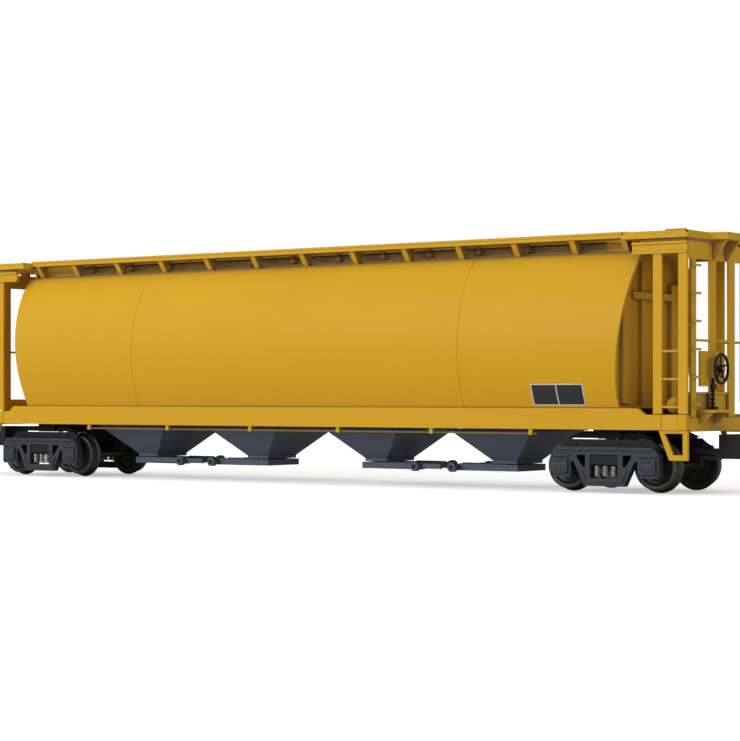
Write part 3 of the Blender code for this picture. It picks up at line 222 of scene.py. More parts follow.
def lathe(form, profile, centre, axis, steps=64, closed=False):
    """Turn (radius, along) pairs about an axis through centre; closed joins the profile into a ring."""
    aim = Vector(axis).to_track_quat("Z", "Y").to_matrix()
    rows = []
    for radius, along in profile + (profile[:1] if closed else []):
        row = []
        for angle in angles(steps):
            spot = Vector((radius * math.cos(angle), radius * math.sin(angle), along))
            row.append(Vector(centre) + aim @ spot)
        rows.append(row)
    skin(form, rows, capped=not closed)
    if closed:
        bmesh.ops.remove_doubles(form, verts=form.verts, dist=WELD_MM)


def round_wire(form, path, radius, sides=10):
    """Round wire along a path of points."""
    points = [Vector(p) for p in path]
    across = None
    rows = []
    for i, point in enumerate(points):
        along = (points[min(i + 1, len(points) - 1)] - points[max(i - 1, 0)]).normalized()
        if across is None:
            across = along.orthogonal().normalized()
        across = (across - along * across.dot(along)).normalized()
        third = along.cross(across)
        rows.append([point + radius * (across * math.cos(a) + third * math.sin(a)) for a in angles(sides)])
    skin(form, rows)


def bolt(form, place, axis, across, height):
    """Hexagon bolt head with a chamfered top."""
    lathe(form, [(across / 2, -0.05), (across / 2, height * 0.65), (across * 0.36, height)], place, axis, 6)


def piece(name, body, finish, form):
    """Finish a drawn form and let it ride on a body."""
    bmesh.ops.recalc_face_normals(form, faces=form.faces)
    bmesh.ops.scale(form, vec=(MM, MM, MM), verts=form.verts)
    mesh = bpy.data.meshes.new(name)
    form.to_mesh(mesh)
    form.free()
    mesh.materials.append(finish)
    mesh.shade_smooth()
    mesh.set_sharp_from_angle(angle=CRISP_EDGE)
    thing = bpy.data.objects.new(name, mesh)
    bpy.context.scene.collection.objects.link(thing)
    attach(thing, body)
    return thing


def yellow_piece(name, form):
    """A painted piece fixed to the car's body."""
    return piece(name, "car_body", yellow_enamel, form)


def box_mm(node):
    """A node's lowest and highest corners in millimetres."""
    return [[c / MM for c in corner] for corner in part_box(node)]


def half_turned(points, turned):
    """The same points, or turned half a turn about the car's upright axis."""
    return [(-x, -y, z) if turned else (x, y, z) for x, y, z in points]


def end_bar(form, low, high, turned):
    """A bar drawn at the brake end, or turned to the other end."""
    a, b = half_turned([low, high], turned)
    bar(form, [min(p) for p in zip(a, b)], [max(p) for p in zip(a, b)])


# Places that several pieces share
ENDS = (("b", 1), ("a", -1))
LEFT_AND_RIGHT = (("left", False), ("right", True))
SIDES = (-1, 1)
TRUCK_X = 145.25
AXLE_X = 18.52
AXLE_Z = 9.73
CAGE_END = 180.5
SILL_Y = 26.0

# Wheelsets: coned treads, filleted flanges, dished plates and rounded axle ends, as (radius, across) pairs
wheel_half = [
    (0.05, 23.4), (0.8, 23.4), (1.0, 23.2), (1.0, 19.5), (1.3, 19.4), (2.2, 19.35), (2.42, 19.2),
    (2.55, 18.7), (2.75, 18.1), (3.2, 17.9), (4.6, 17.78), (6.1, 17.95), (6.6, 18.2), (6.95, 18.75),
    (7.1, 18.93), (7.3, 19.0), (8.4, 19.0), (8.56, 18.94), (8.62, 18.8), (8.72, 15.75), (8.8, 15.48),
    (9.05, 15.22), (9.45, 15.02), (9.66, 14.84), (9.73, 14.6), (9.67, 14.34), (9.5, 14.12), (9.2, 14.02),
    (7.3, 14.0), (6.8, 14.3), (6.4, 14.9), (3.1, 15.3), (2.65, 14.9), (2.45, 14.15), (2.3, 14.0),
    (1.35, 14.0), (1.3, 13.9)]
wheel_profile = wheel_half + [(r, -y) for r, y in reversed(wheel_half)]
for end, sign in ENDS:
    for axle, way in (("outer", 1), ("inner", -1)):
        name = "wheelset_%s_%s" % (end, axle)
        form = bmesh.new()
        lathe(form, wheel_profile, (sign * (TRUCK_X + way * AXLE_X), 0, AXLE_Z), ACROSS)
        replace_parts(piece("turned_" + name, name, wheel_metal, form), name)

# Truck springs: evenly wound wire over the height of each solid spring
SPRING_TURNS, TURN_STEPS = 6, 22
COIL_RADIUS, SPRING_WIRE = 1.05, 0.25
for end in "ba":
    for side in ("left", "right"):
        for i in (1, 2, 3):
            name = "spring_%s_%s_%d" % (end, side, i)
            low, high = box_mm(name)
            x, y = (low[0] + high[0]) / 2, (low[1] + high[1]) / 2
            form = bmesh.new()
            steps = SPRING_TURNS * TURN_STEPS
            rise = high[2] - low[2] - 2 * SPRING_WIRE
            coil = []
            for k in range(steps + 1):
                angle = 2 * math.pi * k / TURN_STEPS
                z = low[2] + SPRING_WIRE + rise * k / steps
                coil.append((x + COIL_RADIUS * math.cos(angle), y + COIL_RADIUS * math.sin(angle), z))
            round_wire(form, coil, SPRING_WIRE)
            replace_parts(piece("wound_" + name, "truck_" + end, spring_wire, form), name)

# Brake wheel: round rim, five dished spokes and a bored hub
RIM_RADIUS, RIM_HALF = 5.35, 0.55
SPOKES, SPOKE_WIRE = 5, 0.36
SPOKE_START, SPOKE_LENGTH, SPOKE_DISH = 1.25, 3.9, 0.45
low, high = box_mm("brake_wheel")
centre = [(a + b) / 2 for a, b in zip(low, high)]
form = bmesh.new()
rim_ring = [(RIM_RADIUS + RIM_HALF * math.cos(a), RIM_HALF * math.sin(a)) for a in angles(14)]
lathe(form, rim_ring, centre, ALONG, 56, closed=True)
hub_ring = [(1.05, -1.0), (1.35, -1.0), (1.5, -0.85), (1.5, 0.8), (1.3, 1.0), (1.05, 1.0)]
lathe(form, hub_ring, centre, ALONG, 28, closed=True)
for turn in angles(SPOKES):
    angle = turn + math.pi / 2
    aim = Vector((0, math.cos(angle), math.sin(angle)))
    spoke = []
    for t in (0.0, 0.25, 0.5, 0.75, 1.0):
        dish = Vector((-SPOKE_DISH * math.sin(math.pi * t), 0, 0))
        spoke.append(Vector(centre) + aim * (SPOKE_START + SPOKE_LENGTH * t) + dish)
    round_wire(form, spoke, SPOKE_WIRE, 8)
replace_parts(piece("cast_brake_wheel", "brake_wheel", black_zinc, form), "brake_wheel")

# Brake gear: cover screws on the gear box, and the chain rod from the gear box down to the brake step
ROD_RADIUS = 0.55
LINK_HEIGHTS = (33.4, 34.9, 36.4, 37.9)
chain_link = [(0.55, -0.5), (0.85, -0.25), (0.85, 0.25), (0.55, 0.5)]
shaft_collar = [(1.25, -0.05), (1.25, 0.12), (1.0, 0.22)]
gear_y, gear_z = centre[1], centre[2]
gear_front = centre[0] - 1.3
form = bmesh.new()
for u in (-2.3, 2.3):
    for v in (-2.8, 2.8):
        bolt(form, (gear_front, gear_y + u, gear_z + v), ALONG, 0.8, 0.25)
lathe(form, shaft_collar, (gear_front, gear_y, gear_z), ALONG, 20)
rod_x, rod_y = CAGE_END + 1.5, gear_y - 0.6
round_wire(form, [(rod_x, rod_y, z) for z in (31.0, 36.0, 42.8)], ROD_RADIUS)
bar(form, (rod_x - 0.6, rod_y - 1.5, 38.6), (rod_x + 0.9, rod_y + 1.5, 40.4), 0.3)
bar(form, (rod_x - 0.6, rod_y - 1.6, 30.9), (rod_x + 1.6, rod_y + 1.6, 32.2), 0.4)
for z in LINK_HEIGHTS:
    lathe(form, chain_link, (rod_x, rod_y, z), UP, 12)
piece("brake_chain_and_screws", "car_body", black_zinc, form)

# Body: three welded plates with a groove at each seam, side edges leaning out over recessed end sheets
BODY_HALF, SIDE_RADIUS, BULGE_Z = 30.8, 52.0, 55.0
BODY_LOW, SHOULDER_Z, ROOF_Z = 31.4, 89.5, 92.4
SIDE_STEPS, ROOF_STEPS = 48, 10
SIDE_INSET = 0.02
SEAM_X, SEAM_HALF, SEAM_FLOOR_HALF, SEAM_DEPTH = 84.1, 0.4, 0.15, 0.22
EDGE_LOW_X, EDGE_HIGH_X, LEAN_START_Z, EDGE_LEAN = 152.0, 157.4, 36.0, 0.112
LIP_SHARE, LIP_CENTRE_Z = 0.962, 61.0
END_SHEET_X, END_BAR_ROOT = 150.6, 0.3
COAMING_LOW, COAMING_HIGH = (-138.0, -8.5, 91.4), (138.0, 8.5, 94.2)
# Four uprights and a ledge on each end sheet: across from and to, up from and to, height over the sheet
END_BARS = ((-22.4, -16.2, 33.2, 79.0, 1.8), (16.2, 22.4, 33.2, 79.0, 1.8),
            (-7.2, -5.2, 33.2, 86.5, 1.5), (5.2, 7.2, 33.2, 86.5, 1.5), (-15.9, 15.9, 72.6, 75.2, 2.6))


def side_y(z):
    """Half width of the bulging side at a height."""
    return BODY_HALF - SIDE_RADIUS + math.sqrt(SIDE_RADIUS ** 2 - (z - BULGE_Z) ** 2)


def body_end(z):
    """Place of the leaning side edge at a height."""
    return min(EDGE_HIGH_X, max(EDGE_LOW_X, EDGE_LOW_X + (z - LEAN_START_Z) * EDGE_LEAN))


# Half of the section, each point with its outward direction
half_section = []
for k in range(SIDE_STEPS + 1):
    z = BODY_LOW + (SHOULDER_Z - BODY_LOW) * k / SIDE_STEPS
    slope = math.asin((z - BULGE_Z) / SIDE_RADIUS)
    half_section.append((side_y(z) - SIDE_INSET, z, math.cos(slope), math.sin(slope)))
shoulder_y = half_section[SIDE_STEPS][0]
for k in range(1, ROOF_STEPS + 1):
    t = k / ROOF_STEPS
    crown_z = SHOULDER_Z + (ROOF_Z - SHOULDER_Z) * (1 - (1 - t) ** 2)
    half_section.append((shoulder_y * (1 - t), crown_z, 0.0, 1.0))
body_section = half_section + [(-y, z, -v, w) for y, z, v, w in reversed(half_section[:-1])]
stations = []
for x in (-SEAM_X, SEAM_X):
    stations += [(x - SEAM_HALF, 0.0), (x - SEAM_FLOOR_HALF, SEAM_DEPTH),
                 (x + SEAM_FLOOR_HALF, SEAM_DEPTH), (x + SEAM_HALF, 0.0)]
rows = [[(x, y - v * sink, z - w * sink) for y, z, v, w in body_section] for x, sink in stations]
for sign in SIDES:
    edge = [(sign * body_end(z), y, z) for y, z, v, w in body_section]
    lip = [(x, y * LIP_SHARE, LIP_CENTRE_Z + (z - LIP_CENTRE_Z) * LIP_SHARE) for x, y, z in edge]
    end_sheet = [(sign * END_SHEET_X, y, z) for x, y, z in lip]
    rows = rows + [edge, lip, end_sheet] if sign > 0 else [end_sheet, lip, edge] + rows
form = bmesh.new()
skin(form, rows)
bar(form, COAMING_LOW, COAMING_HIGH)
for sign in SIDES:
    for y0, y1, z0, z1, proud in END_BARS:
        x0, x1 = sorted((sign * (END_SHEET_X - END_BAR_ROOT), sign * (END_SHEET_X + proud)))
        bar(form, (x0, y0, z0), (x1, y1, z1))
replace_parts(piece("welded_body", "car_body", yellow_enamel, form), "body_shell")

# Bare panels near one end of each side: satin black, edged with a fine pale line
PANEL_STEPS, PANEL_ROOT = 8, 0.1
for name, spans, z0, z1, height, finish in (
        ("panel_edge_lines", ((115.8, 138.6),), 32.4, 40.7, 0.05, panel_line),
        ("panel_faces", ((116.3, 126.7), (127.2, 138.1)), 32.9, 40.2, 0.08, panel_black)):
    form = bmesh.new()
    for turned in (False, True):
        for x0, x1 in spans:
            rows = []
            for k in range(PANEL_STEPS + 1):
                z = z0 + (z1 - z0) * k / PANEL_STEPS
                y = -side_y(z)
                front, back = y - height, y + PANEL_ROOT
                outline = [(x0, front, z), (x1, front, z), (x1, back, z), (x0, back, z)]
                rows.append(half_turned(outline, turned))
            skin(form, rows)
    piece(name, "car_body", finish, form)

# Side sills: stepped plates, bent strap steps at the corners, a fine strip hung inboard on small hangers
SILL_LOW, SILL_TOP, SILL_END_TOP, SILL_INNER = 23.5, 31.5, 29.2, 23.8
SILL_STATIONS = ((-CAGE_END, SILL_END_TOP), (-163.0, SILL_END_TOP), (-160.0, SILL_TOP),
                 (160.0, SILL_TOP), (163.0, SILL_END_TOP), (CAGE_END, SILL_END_TOP))
HANGERS, HANGER_PITCH, HANGER_HALF = 6, 45.6, 0.8
STRIP_HALF_LENGTH = 116.0
STEP_LOOP = [(180.5, 23.9), (168.5, 23.9), (173.0, 12.5), (180.5, 12.5)]
STEP_HOLE = [(178.5, 22.3), (171.1, 22.3), (174.6, 14.5), (178.5, 14.5)]
STEP_FRONT, STEP_BACK = -25.6, -24.4
STEP_ROUND = ((STEP_LOOP, STEP_FRONT), (STEP_HOLE, STEP_FRONT), (STEP_HOLE, STEP_BACK),
              (STEP_LOOP, STEP_BACK), (STEP_LOOP, STEP_FRONT))
for name, turned in LEFT_AND_RIGHT:
    form = bmesh.new()
    rows = []
    for x, top in SILL_STATIONS:
        corners = [(-SILL_Y, SILL_LOW), (-SILL_INNER, SILL_LOW), (-SILL_INNER, top), (-SILL_Y, top)]
        rows.append(half_turned([(x, y, z) for y, z in corners], turned))
    skin(form, rows)
    for k in range(HANGERS):
        x = (k - (HANGERS - 1) / 2) * HANGER_PITCH
        end_bar(form, (x - HANGER_HALF, -25.6, 21.3), (x + HANGER_HALF, -24.3, 24.0), turned)
    for sign in SIDES:
        rows = [half_turned([(sign * x, y, z) for x, z in loop], turned) for loop, y in STEP_ROUND]
        skin(form, rows, capped=False)
    bmesh.ops.remove_doubles(form, verts=form.verts, dist=WELD_MM)
    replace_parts(yellow_piece("stepped_sill_" + name, form), "side_sill_" + name)
    form = bmesh.new()
    # The hung strip takes the dull tan enamel, its colour standing in for painted shade under the sill
    end_bar(form, (-STRIP_HALF_LENGTH, -24.6, 21.5), (STRIP_HALF_LENGTH, -23.6, 22.1), turned)
    piece("hung_strip_" + name, "car_body", shaded_strip_enamel, form)

# Cage posts lapped over the sills on all four corners
LAP_WIDTH, LAP_LOW, LAP_HIGH = 3.2, 23.7, 29.25
form = bmesh.new()
for turned in (False, True):
    for side in SIDES:
        back, front = side * (SILL_Y - 0.2), side * (SILL_Y + 0.25)
        for x0 in (CAGE_END - 13.7, CAGE_END - 3.4):
            end_bar(form, (x0, back, LAP_LOW), (x0 + LAP_WIDTH, front, LAP_HIGH), turned)
yellow_piece("stile_lap_strips", form)

# End cages: thin sheet posts and beams with lipped edges, round rungs, toe plates behind the end posts
SHEET, STRIP, LIP = 1.1, 0.9, 0.9
CAGE_TOP, BEAM_LOW, POST_FOOT = 92.5, 88.1, 29.5
END_BEAM_LOW, END_POST_FOOT = 86.3, 28.3
BEAM_START = CAGE_END - 22.5
POST_WIDTH = 3.6
INNER_POST, CORNER_POST = CAGE_END - 13.9, CAGE_END - POST_WIDTH
RUNG = 0.45
RUNGS, RUNG_START, RUNG_PITCH, RUNG_REACH = 6, 32.8, 10.2, 2.8
RAIL_HEIGHT = 56.5
STILE_Y, END_POSTS = -20.6, (-4.9, 10.8)
STILE_HALF, END_POST_HALF = 1.9, 2.5
TOE_TOP_B, TOE_TOP_A = 37.5, 34.5
TOE_FROM, TOE_TO, TOE_FOOT = -23.4, 14.0, 28.2
cage_sides = (("cage_ladder_side_", -1, (32.0, 42.2, 52.4)), ("cage_grab_side_", 1, (RAIL_HEIGHT,)))
for end, turned in (("b", False), ("a", True)):
    for node, side, rungs in cage_sides:
        form = bmesh.new()
        outer, inner = side * SILL_Y, side * (SILL_Y - SHEET)
        end_bar(form, (BEAM_START, outer, BEAM_LOW), (CAGE_END, inner, CAGE_TOP), turned)
        for x in (INNER_POST, CORNER_POST):
            end_bar(form, (x, outer, POST_FOOT), (x + POST_WIDTH, inner, BEAM_LOW), turned)
        lip_front, lip_back = outer + side * 0.5, outer - side * 0.4
        for z in (BEAM_LOW, CAGE_TOP - LIP):
            end_bar(form, (BEAM_START, lip_front, z), (CAGE_END, lip_back, z + LIP), turned)
        middle = (outer + inner) / 2
        for z in rungs:
            path = [(INNER_POST + 3.0, middle, z), (CORNER_POST + 0.6, middle, z)]
            round_wire(form, half_turned(path, turned), RUNG)
        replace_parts(yellow_piece("sheet_" + node + end, form), node + end)
    form = bmesh.new()
    back = CAGE_END - STRIP
    beam_half = SILL_Y - SHEET - 0.2
    end_bar(form, (back, -beam_half, END_BEAM_LOW), (CAGE_END, beam_half, CAGE_TOP), turned)
    for y, half in ((STILE_Y, STILE_HALF), (END_POSTS[0], END_POST_HALF), (END_POSTS[1], END_POST_HALF)):
        end_bar(form, (back, y - half, END_POST_FOOT), (CAGE_END, y + half, END_BEAM_LOW), turned)
    rung_x = CAGE_END + 1.3
    for k in range(RUNGS):
        z = RUNG_START + k * RUNG_PITCH
        path = [(rung_x, STILE_Y - RUNG_REACH, z), (rung_x, STILE_Y + RUNG_REACH, z)]
        round_wire(form, half_turned(path, turned), RUNG)
        end_bar(form, (CAGE_END - 0.4, STILE_Y - 0.6, z - 0.36), (rung_x, STILE_Y + 0.6, z + 0.36), turned)
    rail_x = CAGE_END - STRIP / 2
    path = [(rail_x, STILE_Y, RAIL_HEIGHT), (rail_x, END_POSTS[1] + 1.0, RAIL_HEIGHT)]
    round_wire(form, half_turned(path, turned), RUNG)
    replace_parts(yellow_piece("sheet_cage_end_" + end, form), "cage_end_" + end)
    form = bmesh.new()
    high = TOE_TOP_A if turned else TOE_TOP_B
    end_bar(form, (CAGE_END - 2.3, TOE_FROM, TOE_FOOT), (CAGE_END - 1.3, TOE_TO, high), turned)
    end_bar(form, (CAGE_END - 1.3, TOE_FROM, high - LIP), (CAGE_END - 0.95, TOE_TO, high), turned)
    yellow_piece("toe_plate_" + end, form)

# Roof walkways: boards on wedge brackets
WALK_END = 153.6
WALK_OUTER, WALK_INNER = 21.0, 13.0
BOARD_LOW, BOARD_TOP, GRATE_TOP = 94.9, 96.3, 97.2
BRACKET_HALF, BRACKET_PITCH, END_BRACKET = 1.2, 25.75, 150.8
WEDGE = ((-20.4, BOARD_LOW + 0.2), (-14.6, BOARD_LOW + 0.2), (-14.2, 89.9), (-16.4, 89.6))
bracket_places = [k * BRACKET_PITCH for k in range(-5, 6)] + [-END_BRACKET, END_BRACKET]
for name, turned in LEFT_AND_RIGHT:
    form = bmesh.new()
    end_bar(form, (-WALK_END, -WALK_OUTER, BOARD_LOW), (WALK_END, -WALK_INNER, BOARD_TOP), turned)
    for x in bracket_places:
        faces = (-BRACKET_HALF, BRACKET_HALF)
        skin(form, [half_turned([(x + u, y, z) for y, z in WEDGE], turned) for u in faces])
    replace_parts(yellow_piece("bracketed_walkway_" + name, form), "roof_walkway_" + name)

# Gratings over the walkway boards, the end platforms and their noses; the platform decks' inner part
GRATE_HALF, GRATE_RIM = 0.14, 0.5
GRATE_PITCH, CROSS_PITCH = 1.22, 2.927
GRATE_FOOT = BOARD_TOP - 0.1
PLATFORM_START, PLATFORM_HALF = 153.6, 26.0
PLATFORM_LOW, PLATFORM_TOP, PLATFORM_GRATE = 93.9, 95.6, 96.5
WEB_LOW, WEB_HALF = 89.8, 17.6
NOSE_LENGTH, NOSE_ROOT_HALF, NOSE_TIP_HALF = 7.0, 9.6, 6.6
form = bmesh.new()
for turned in (False, True):
    for y in (-WALK_OUTER, -WALK_INNER - GRATE_RIM):
        end_bar(form, (-WALK_END, y, GRATE_FOOT), (WALK_END, y + GRATE_RIM, GRATE_TOP), turned)
    reach = WALK_END - 0.2
    for k in range(5):
        y = -19.45 + k * GRATE_PITCH
        near, far = y - GRATE_HALF, y + GRATE_HALF
        end_bar(form, (-reach, near, GRATE_FOOT), (reach, far, GRATE_TOP - 0.1), turned)
    for k in range(105):
        x = -152.2 + k * CROSS_PITCH
        end_bar(form, (x - GRATE_HALF, -20.8, GRATE_FOOT), (x + GRATE_HALF, -13.2, GRATE_TOP - 0.2), turned)
    low, top = PLATFORM_TOP, PLATFORM_GRATE
    deck_end, web_end = CAGE_END - 20.2, PLATFORM_START + 1.0
    end_bar(form, (PLATFORM_START, -PLATFORM_HALF, PLATFORM_LOW), (deck_end, PLATFORM_HALF, low), turned)
    end_bar(form, (PLATFORM_START, -WEB_HALF, WEB_LOW), (web_end, WEB_HALF, PLATFORM_LOW), turned)
    for x in (PLATFORM_START, CAGE_END - GRATE_RIM):
        end_bar(form, (x, -PLATFORM_HALF, low), (x + GRATE_RIM, PLATFORM_HALF, top), turned)
    for y in (-PLATFORM_HALF, PLATFORM_HALF - GRATE_RIM):
        end_bar(form, (PLATFORM_START, y, low), (CAGE_END, y + GRATE_RIM, top), turned)
    for k in range(21):
        x = PLATFORM_START + 1.32 + k * GRATE_PITCH
        end_bar(form, (x - GRATE_HALF, -25.6, low), (x + GRATE_HALF, 25.6, top - 0.1), turned)
    first, last = PLATFORM_START + 0.2, CAGE_END - 0.3
    for k in range(18):
        y = -24.9 + k * CROSS_PITCH
        end_bar(form, (first, y - GRATE_HALF, low), (last, y + GRATE_HALF, top - 0.2), turned)
    nose_end = CAGE_END + NOSE_LENGTH
    end_bar(form, (CAGE_END + 6.5, -NOSE_TIP_HALF, low), (nose_end, NOSE_TIP_HALF, top), turned)
    for k in range(5):
        x = CAGE_END + 0.5 + k * GRATE_PITCH
        reach = 9.4 - 3.0 * (x - CAGE_END) / NOSE_LENGTH
        end_bar(form, (x - GRATE_HALF, -reach, low), (x + GRATE_HALF, reach, top - 0.1), turned)
    for side in SIDES:
        rows = []
        for x, y in ((CAGE_END, NOSE_ROOT_HALF), (nose_end, NOSE_TIP_HALF)):
            outer, inner = side * y, side * (y - GRATE_RIM)
            rim = [(x, outer, low), (x, inner, low), (x, inner, top), (x, outer, top)]
            rows.append(half_turned(rim, turned))
        skin(form, rows)
    first, last = CAGE_END + 0.2, CAGE_END + 6.7
    for k in range(5):
        y = -6.0 + k * 3.0
        end_bar(form, (first, y - GRATE_HALF, low), (last, y + GRATE_HALF, top - 0.2), turned)
yellow_piece("roof_gratings", form)

# Hatch fittings: hinges on one side of each cover, hold-down bolts with wing nuts on the other
FITTING_STEP = 22.6
HINGE_Y, CLAMP_Y = 10.2, -10.1
BOLT_FOOT, NUT_Z, WING_LOW, WING_TOP = 93.0, 95.4, 96.05, 96.5
hinge_pin = [(0.55, -1.7), (0.6, -1.6), (0.6, 1.6), (0.55, 1.7)]
clamp_nut = [(0.75, 0.0), (0.75, 0.45), (0.5, 0.75)]
wing = ((-1.0, WING_TOP), (-0.4, WING_LOW), (0.4, WING_LOW), (1.0, WING_TOP))
form = bmesh.new()
for cover in (1, 2, 3, 4):
    low, high = box_mm("hatch_cover_%d" % cover)
    middle = (low[0] + high[0]) / 2
    for step in (-FITTING_STEP, 0.0, FITTING_STEP):
        x = middle + step
        bar(form, (x - 1.1, 8.3, 92.2), (x + 1.1, 10.5, 93.6))
        lathe(form, hinge_pin, (x, HINGE_Y, 94.6), ALONG, 14)
        bar(form, (x - 0.5, 9.9, 93.2), (x + 0.5, 10.5, 94.6))
        bar(form, (x - 1.3, 8.9, 94.9), (x + 1.3, 10.3, 95.35))
        bar(form, (x - 1.0, -10.6, 92.0), (x + 1.0, -8.3, 93.4))
        round_wire(form, [(x, CLAMP_Y, BOLT_FOOT), (x, CLAMP_Y, WING_TOP)], 0.36, 8)
        bar(form, (x - 0.9, -10.9, 94.95), (x + 0.9, -8.9, NUT_Z))
        lathe(form, clamp_nut, (x, CLAMP_Y, NUT_Z), UP, 12)
        round_wire(form, [(x + u, CLAMP_Y, z) for u, z in wing], 0.24, 8)
yellow_piece("hatch_hinges_and_clamps", form)

# Truck side frames: journal box lids with hinge pins, column bolts; black brake hanger plates behind them
FRAME_FACE = 24.6
LID_HALF, LID_LOW, LID_HIGH = 2.4, -1.9, 1.6
LID_LAYERS = ((0.8, 0.0), (1.0, 0.0), (1.1, 0.25))
PLATE_BACK, PLATE_FRONT = 19.75, 20.9
PLATE_OUTLINE = ((-21.5, 13.0), (21.5, 13.0), (21.5, 16.6), (18.0, 19.85), (-18.0, 19.85), (-21.5, 16.6))
lid_pin = [(0.3, -1.2), (0.36, -1.1), (0.36, 1.1), (0.3, 1.2)]
for end, sign in ENDS:
    truck_x = sign * TRUCK_X
    form = bmesh.new()
    hangers = bmesh.new()
    for side in SIDES:
        outward = (0, side, 0)
        face = side * FRAME_FACE
        for way in (-1, 1):
            x = truck_x + way * AXLE_X
            rows = []
            for depth, inset in LID_LAYERS:
                half, low, high = LID_HALF - inset, LID_LOW + inset, LID_HIGH - inset
                outline = [(-half, low), (half, low), (half, high), (-half, high)]
                rows.append([(x + u, face + side * depth, AXLE_Z + v) for u, v in outline])
            skin(form, rows)
            lathe(form, lid_pin, (x, face + side * 1.0, AXLE_Z + 2.1), ALONG, 12)
            for u in (-3.75, 3.75):
                bolt(form, (x + u, face, AXLE_Z - 3.0), outward, 0.8, 0.4)
        for u in (-6.9, 6.9):
            for z in (6.6, 8.6):
                bolt(form, (truck_x + u, face, z), outward, 0.7, 0.3)
        depths = (PLATE_BACK, PLATE_FRONT)
        skin(hangers, [[(truck_x + u, side * y, z) for u, z in PLATE_OUTLINE] for y in depths])
        for u in (-14.0, -5.0, 5.0, 14.0):
            bolt(hangers, (truck_x + u, side * PLATE_FRONT, 18.2), outward, 0.9, 0.3)
    piece("truck_lids_and_bolts_" + end, "truck_" + end, grey_zinc, form)
    piece("brake_hanger_plates_" + end, "truck_" + end, black_zinc, hangers)

# Outlet gates: racks along the slide rails, bolts at the throat and the top flange, capstan sockets
BAY_PITCH = 61.9
RACK_TEETH, RACK_START, TOOTH_PITCH, RACK_Y = 17, 6.9, 0.85, 10.2
CAPSTAN_X, CAPSTAN_Y, CAPSTAN_Z = 22.03, 14.68, 7.8
SOCKET_HALF, SOCKET_LOW, SOCKET_HIGH, SOCKET_DEPTH = 0.75, 7.05, 8.55, 0.14
capstan_rim = [(1.9, -0.1), (1.9, 0.1), (1.6, 0.28), (1.25, 0.28), (1.2, 0.1)]
form = bmesh.new()
sockets = bmesh.new()
for bay in (1, 2, 3, 4):
    middle = (bay - 2.5) * BAY_PITCH
    way = -1 if bay % 2 == 0 else 1
    for side in SIDES:
        outward = (0, side, 0)
        rack_y = side * RACK_Y
        for k in range(RACK_TEETH):
            x = middle + way * (RACK_START + k * TOOTH_PITCH)
            bar(form, (x - 0.22, rack_y - 0.45, 9.0), (x + 0.22, rack_y + 0.45, 9.38))
        x, y = middle + way * CAPSTAN_X, side * CAPSTAN_Y
        lathe(form, capstan_rim, (x, y, CAPSTAN_Z), outward, 20)
        back, front = sorted((y, y + side * SOCKET_DEPTH))
        bar(sockets, (x - SOCKET_HALF, back, SOCKET_LOW), (x + SOCKET_HALF, front, SOCKET_HIGH))
        for k in range(4):
            bolt(form, (middle - 4.4 + k * 2.9, side * 10.7, 8.45), outward, 0.7, 0.28)
        for u in (-18.9, -9.5, 0.0, 9.5, 18.9):
            bolt(form, (middle + u, side * 21.85, 22.75), outward, 0.7, 0.28)
piece("gate_racks_and_bolts", "car_body", grey_abs, form)
piece("capstan_sockets", "car_body", black_abs, sockets)

# Coupler pins: domed heads over and under each knuckle pin
PIN_X, PIN_Y, PIN_TOP, PIN_BOTTOM = 193.25, 4.9, 21.85, 12.95
pin_head = [(1.5, 0.0), (1.55, 0.25), (1.2, 0.5), (0.6, 0.62), (0.1, 0.65)]
for end, sign in ENDS:
    form = bmesh.new()
    for z, way in ((PIN_TOP, 1), (PIN_BOTTOM, -1)):
        lathe(form, pin_head, (sign * PIN_X, sign * PIN_Y, z), (0, 0, way), 24)
    piece("coupler_pin_heads_" + end, "coupler_" + end, black_zinc, form)

# Studio floor: matte white paper that keeps the shadow, lit up for the camera and more so with distance
FLOOR_HALF, FLOOR_DROP = 12.0, 0.0002
form = bmesh.new()
bmesh.ops.create_grid(form, x_segments=1, y_segments=1, size=FLOOR_HALF)
floor_mesh = bpy.data.meshes.new("studio_floor")
form.to_mesh(floor_mesh)
form.free()
floor = bpy.data.objects.new("studio_floor", floor_mesh)
floor.location.z = -FLOOR_DROP
bpy.context.scene.collection.objects.link(floor)
paper = bpy.data.materials.new("white_paper_sweep")
paper.use_nodes = True
tree = paper.node_tree
paper_shader = tree.nodes["Principled BSDF"]
paper_shader.inputs["Roughness"].default_value = 0.9
paper_shader.inputs["Specular IOR Level"].default_value = 0.1
paper_shader.inputs["Emission Color"].default_value = srgb("#FFFFFF")
camera_ray = add_node(tree, "ShaderNodeLightPath").outputs["Is Camera Ray"]
place = add_node(tree, "ShaderNodeTexCoord").outputs["Object"]
far = add_node(tree, "ShaderNodeVectorMath", {"operation": "LENGTH"}, {0: place}).outputs["Value"]
rising = {"From Min": 0.25, "From Max": 1.2, "To Min": 0.45, "To Max": 1.0}
glow = add_node(tree, "ShaderNodeMapRange", rising, {"Value": far}).outputs["Result"]
lift = add_node(tree, "ShaderNodeMath", {"operation": "MULTIPLY"}, {0: camera_ray, 1: glow}).outputs["Value"]
tones = {"data_type": "RGBA", "A": srgb("#D2D0CB"), "B": srgb("#F2F2F2")}
tone = add_node(tree, "ShaderNodeMix", tones, {"Factor": camera_ray}).outputs["Result"]
tree.links.new(tone, paper_shader.inputs["Base Color"])
tree.links.new(lift, paper_shader.inputs["Emission Strength"])
floor_mesh.materials.append(paper)

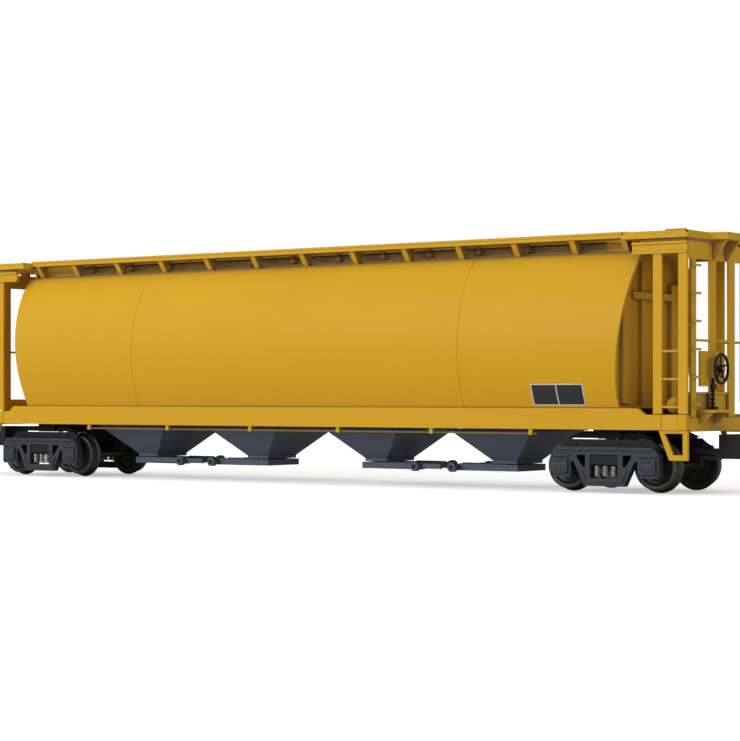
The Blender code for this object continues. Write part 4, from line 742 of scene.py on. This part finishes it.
# Soft white world, full white to the camera
world = bpy.data.worlds.new("studio_world")
bpy.context.scene.world = world
world.use_nodes = True
tree = world.node_tree
background = tree.nodes["Background"]
background.inputs["Color"].default_value = srgb("#FFFFFF")
camera_ray = add_node(tree, "ShaderNodeLightPath").outputs["Is Camera Ray"]
strengths = {"To Min": 0.36, "To Max": 1.0}
strength = add_node(tree, "ShaderNodeMapRange", strengths, {"Value": camera_ray}).outputs["Result"]
tree.links.new(strength, background.inputs["Strength"])


def area_light(name, place, target, width, height, watts):
    """Rectangular lamp at a place, aimed at a target, in metres and watts."""
    lamp = bpy.data.lights.new(name, "AREA")
    lamp.shape = "RECTANGLE"
    lamp.size = width
    lamp.size_y = height
    lamp.energy = watts
    thing = bpy.data.objects.new(name, lamp)
    thing.location = place
    thing.rotation_euler = (Vector(target) - Vector(place)).to_track_quat("-Z", "Y").to_euler()
    bpy.context.scene.collection.objects.link(thing)


# Window-like key light on the side, fill from above and on the brake end
area_light("key_window", (-0.5, -1.3, 0.62), (0, 0, 0.05), width=1.1, height=0.8, watts=11.5)
area_light("top_fill", (0.1, -0.1, 1.5), (0, 0, 0.05), width=1.6, height=1.2, watts=7.0)
area_light("end_fill", (1.5, -0.5, 0.5), (0.15, 0, 0.05), width=0.8, height=0.8, watts=3.0)

# Camera of the photograph: level, with the picture shifted, in the fitted place
VIEW_TURN = math.radians(35.5)
FOCAL_PX = 2120.4
HORIZON_PX = 396.5
IMAGE_HEIGHT = 741
SENSOR_MM = 36.0
camera_data = bpy.data.cameras.new("photo_camera")
camera_data.sensor_fit = "AUTO"
camera_data.sensor_width = SENSOR_MM
camera_data.lens = FOCAL_PX * SENSOR_MM / IMAGE_HEIGHT
camera_data.shift_y = (HORIZON_PX - IMAGE_HEIGHT / 2) / IMAGE_HEIGHT
camera_data.clip_end = 50
camera = bpy.data.objects.new("photo_camera", camera_data)
camera.location = (0.53318, -0.7183, 0.03588)
camera.rotation_euler = (math.pi / 2, 0, VIEW_TURN)
bpy.context.scene.collection.objects.link(camera)
bpy.context.scene.camera = camera
bpy.context.scene.view_settings.view_transform = "Standard"
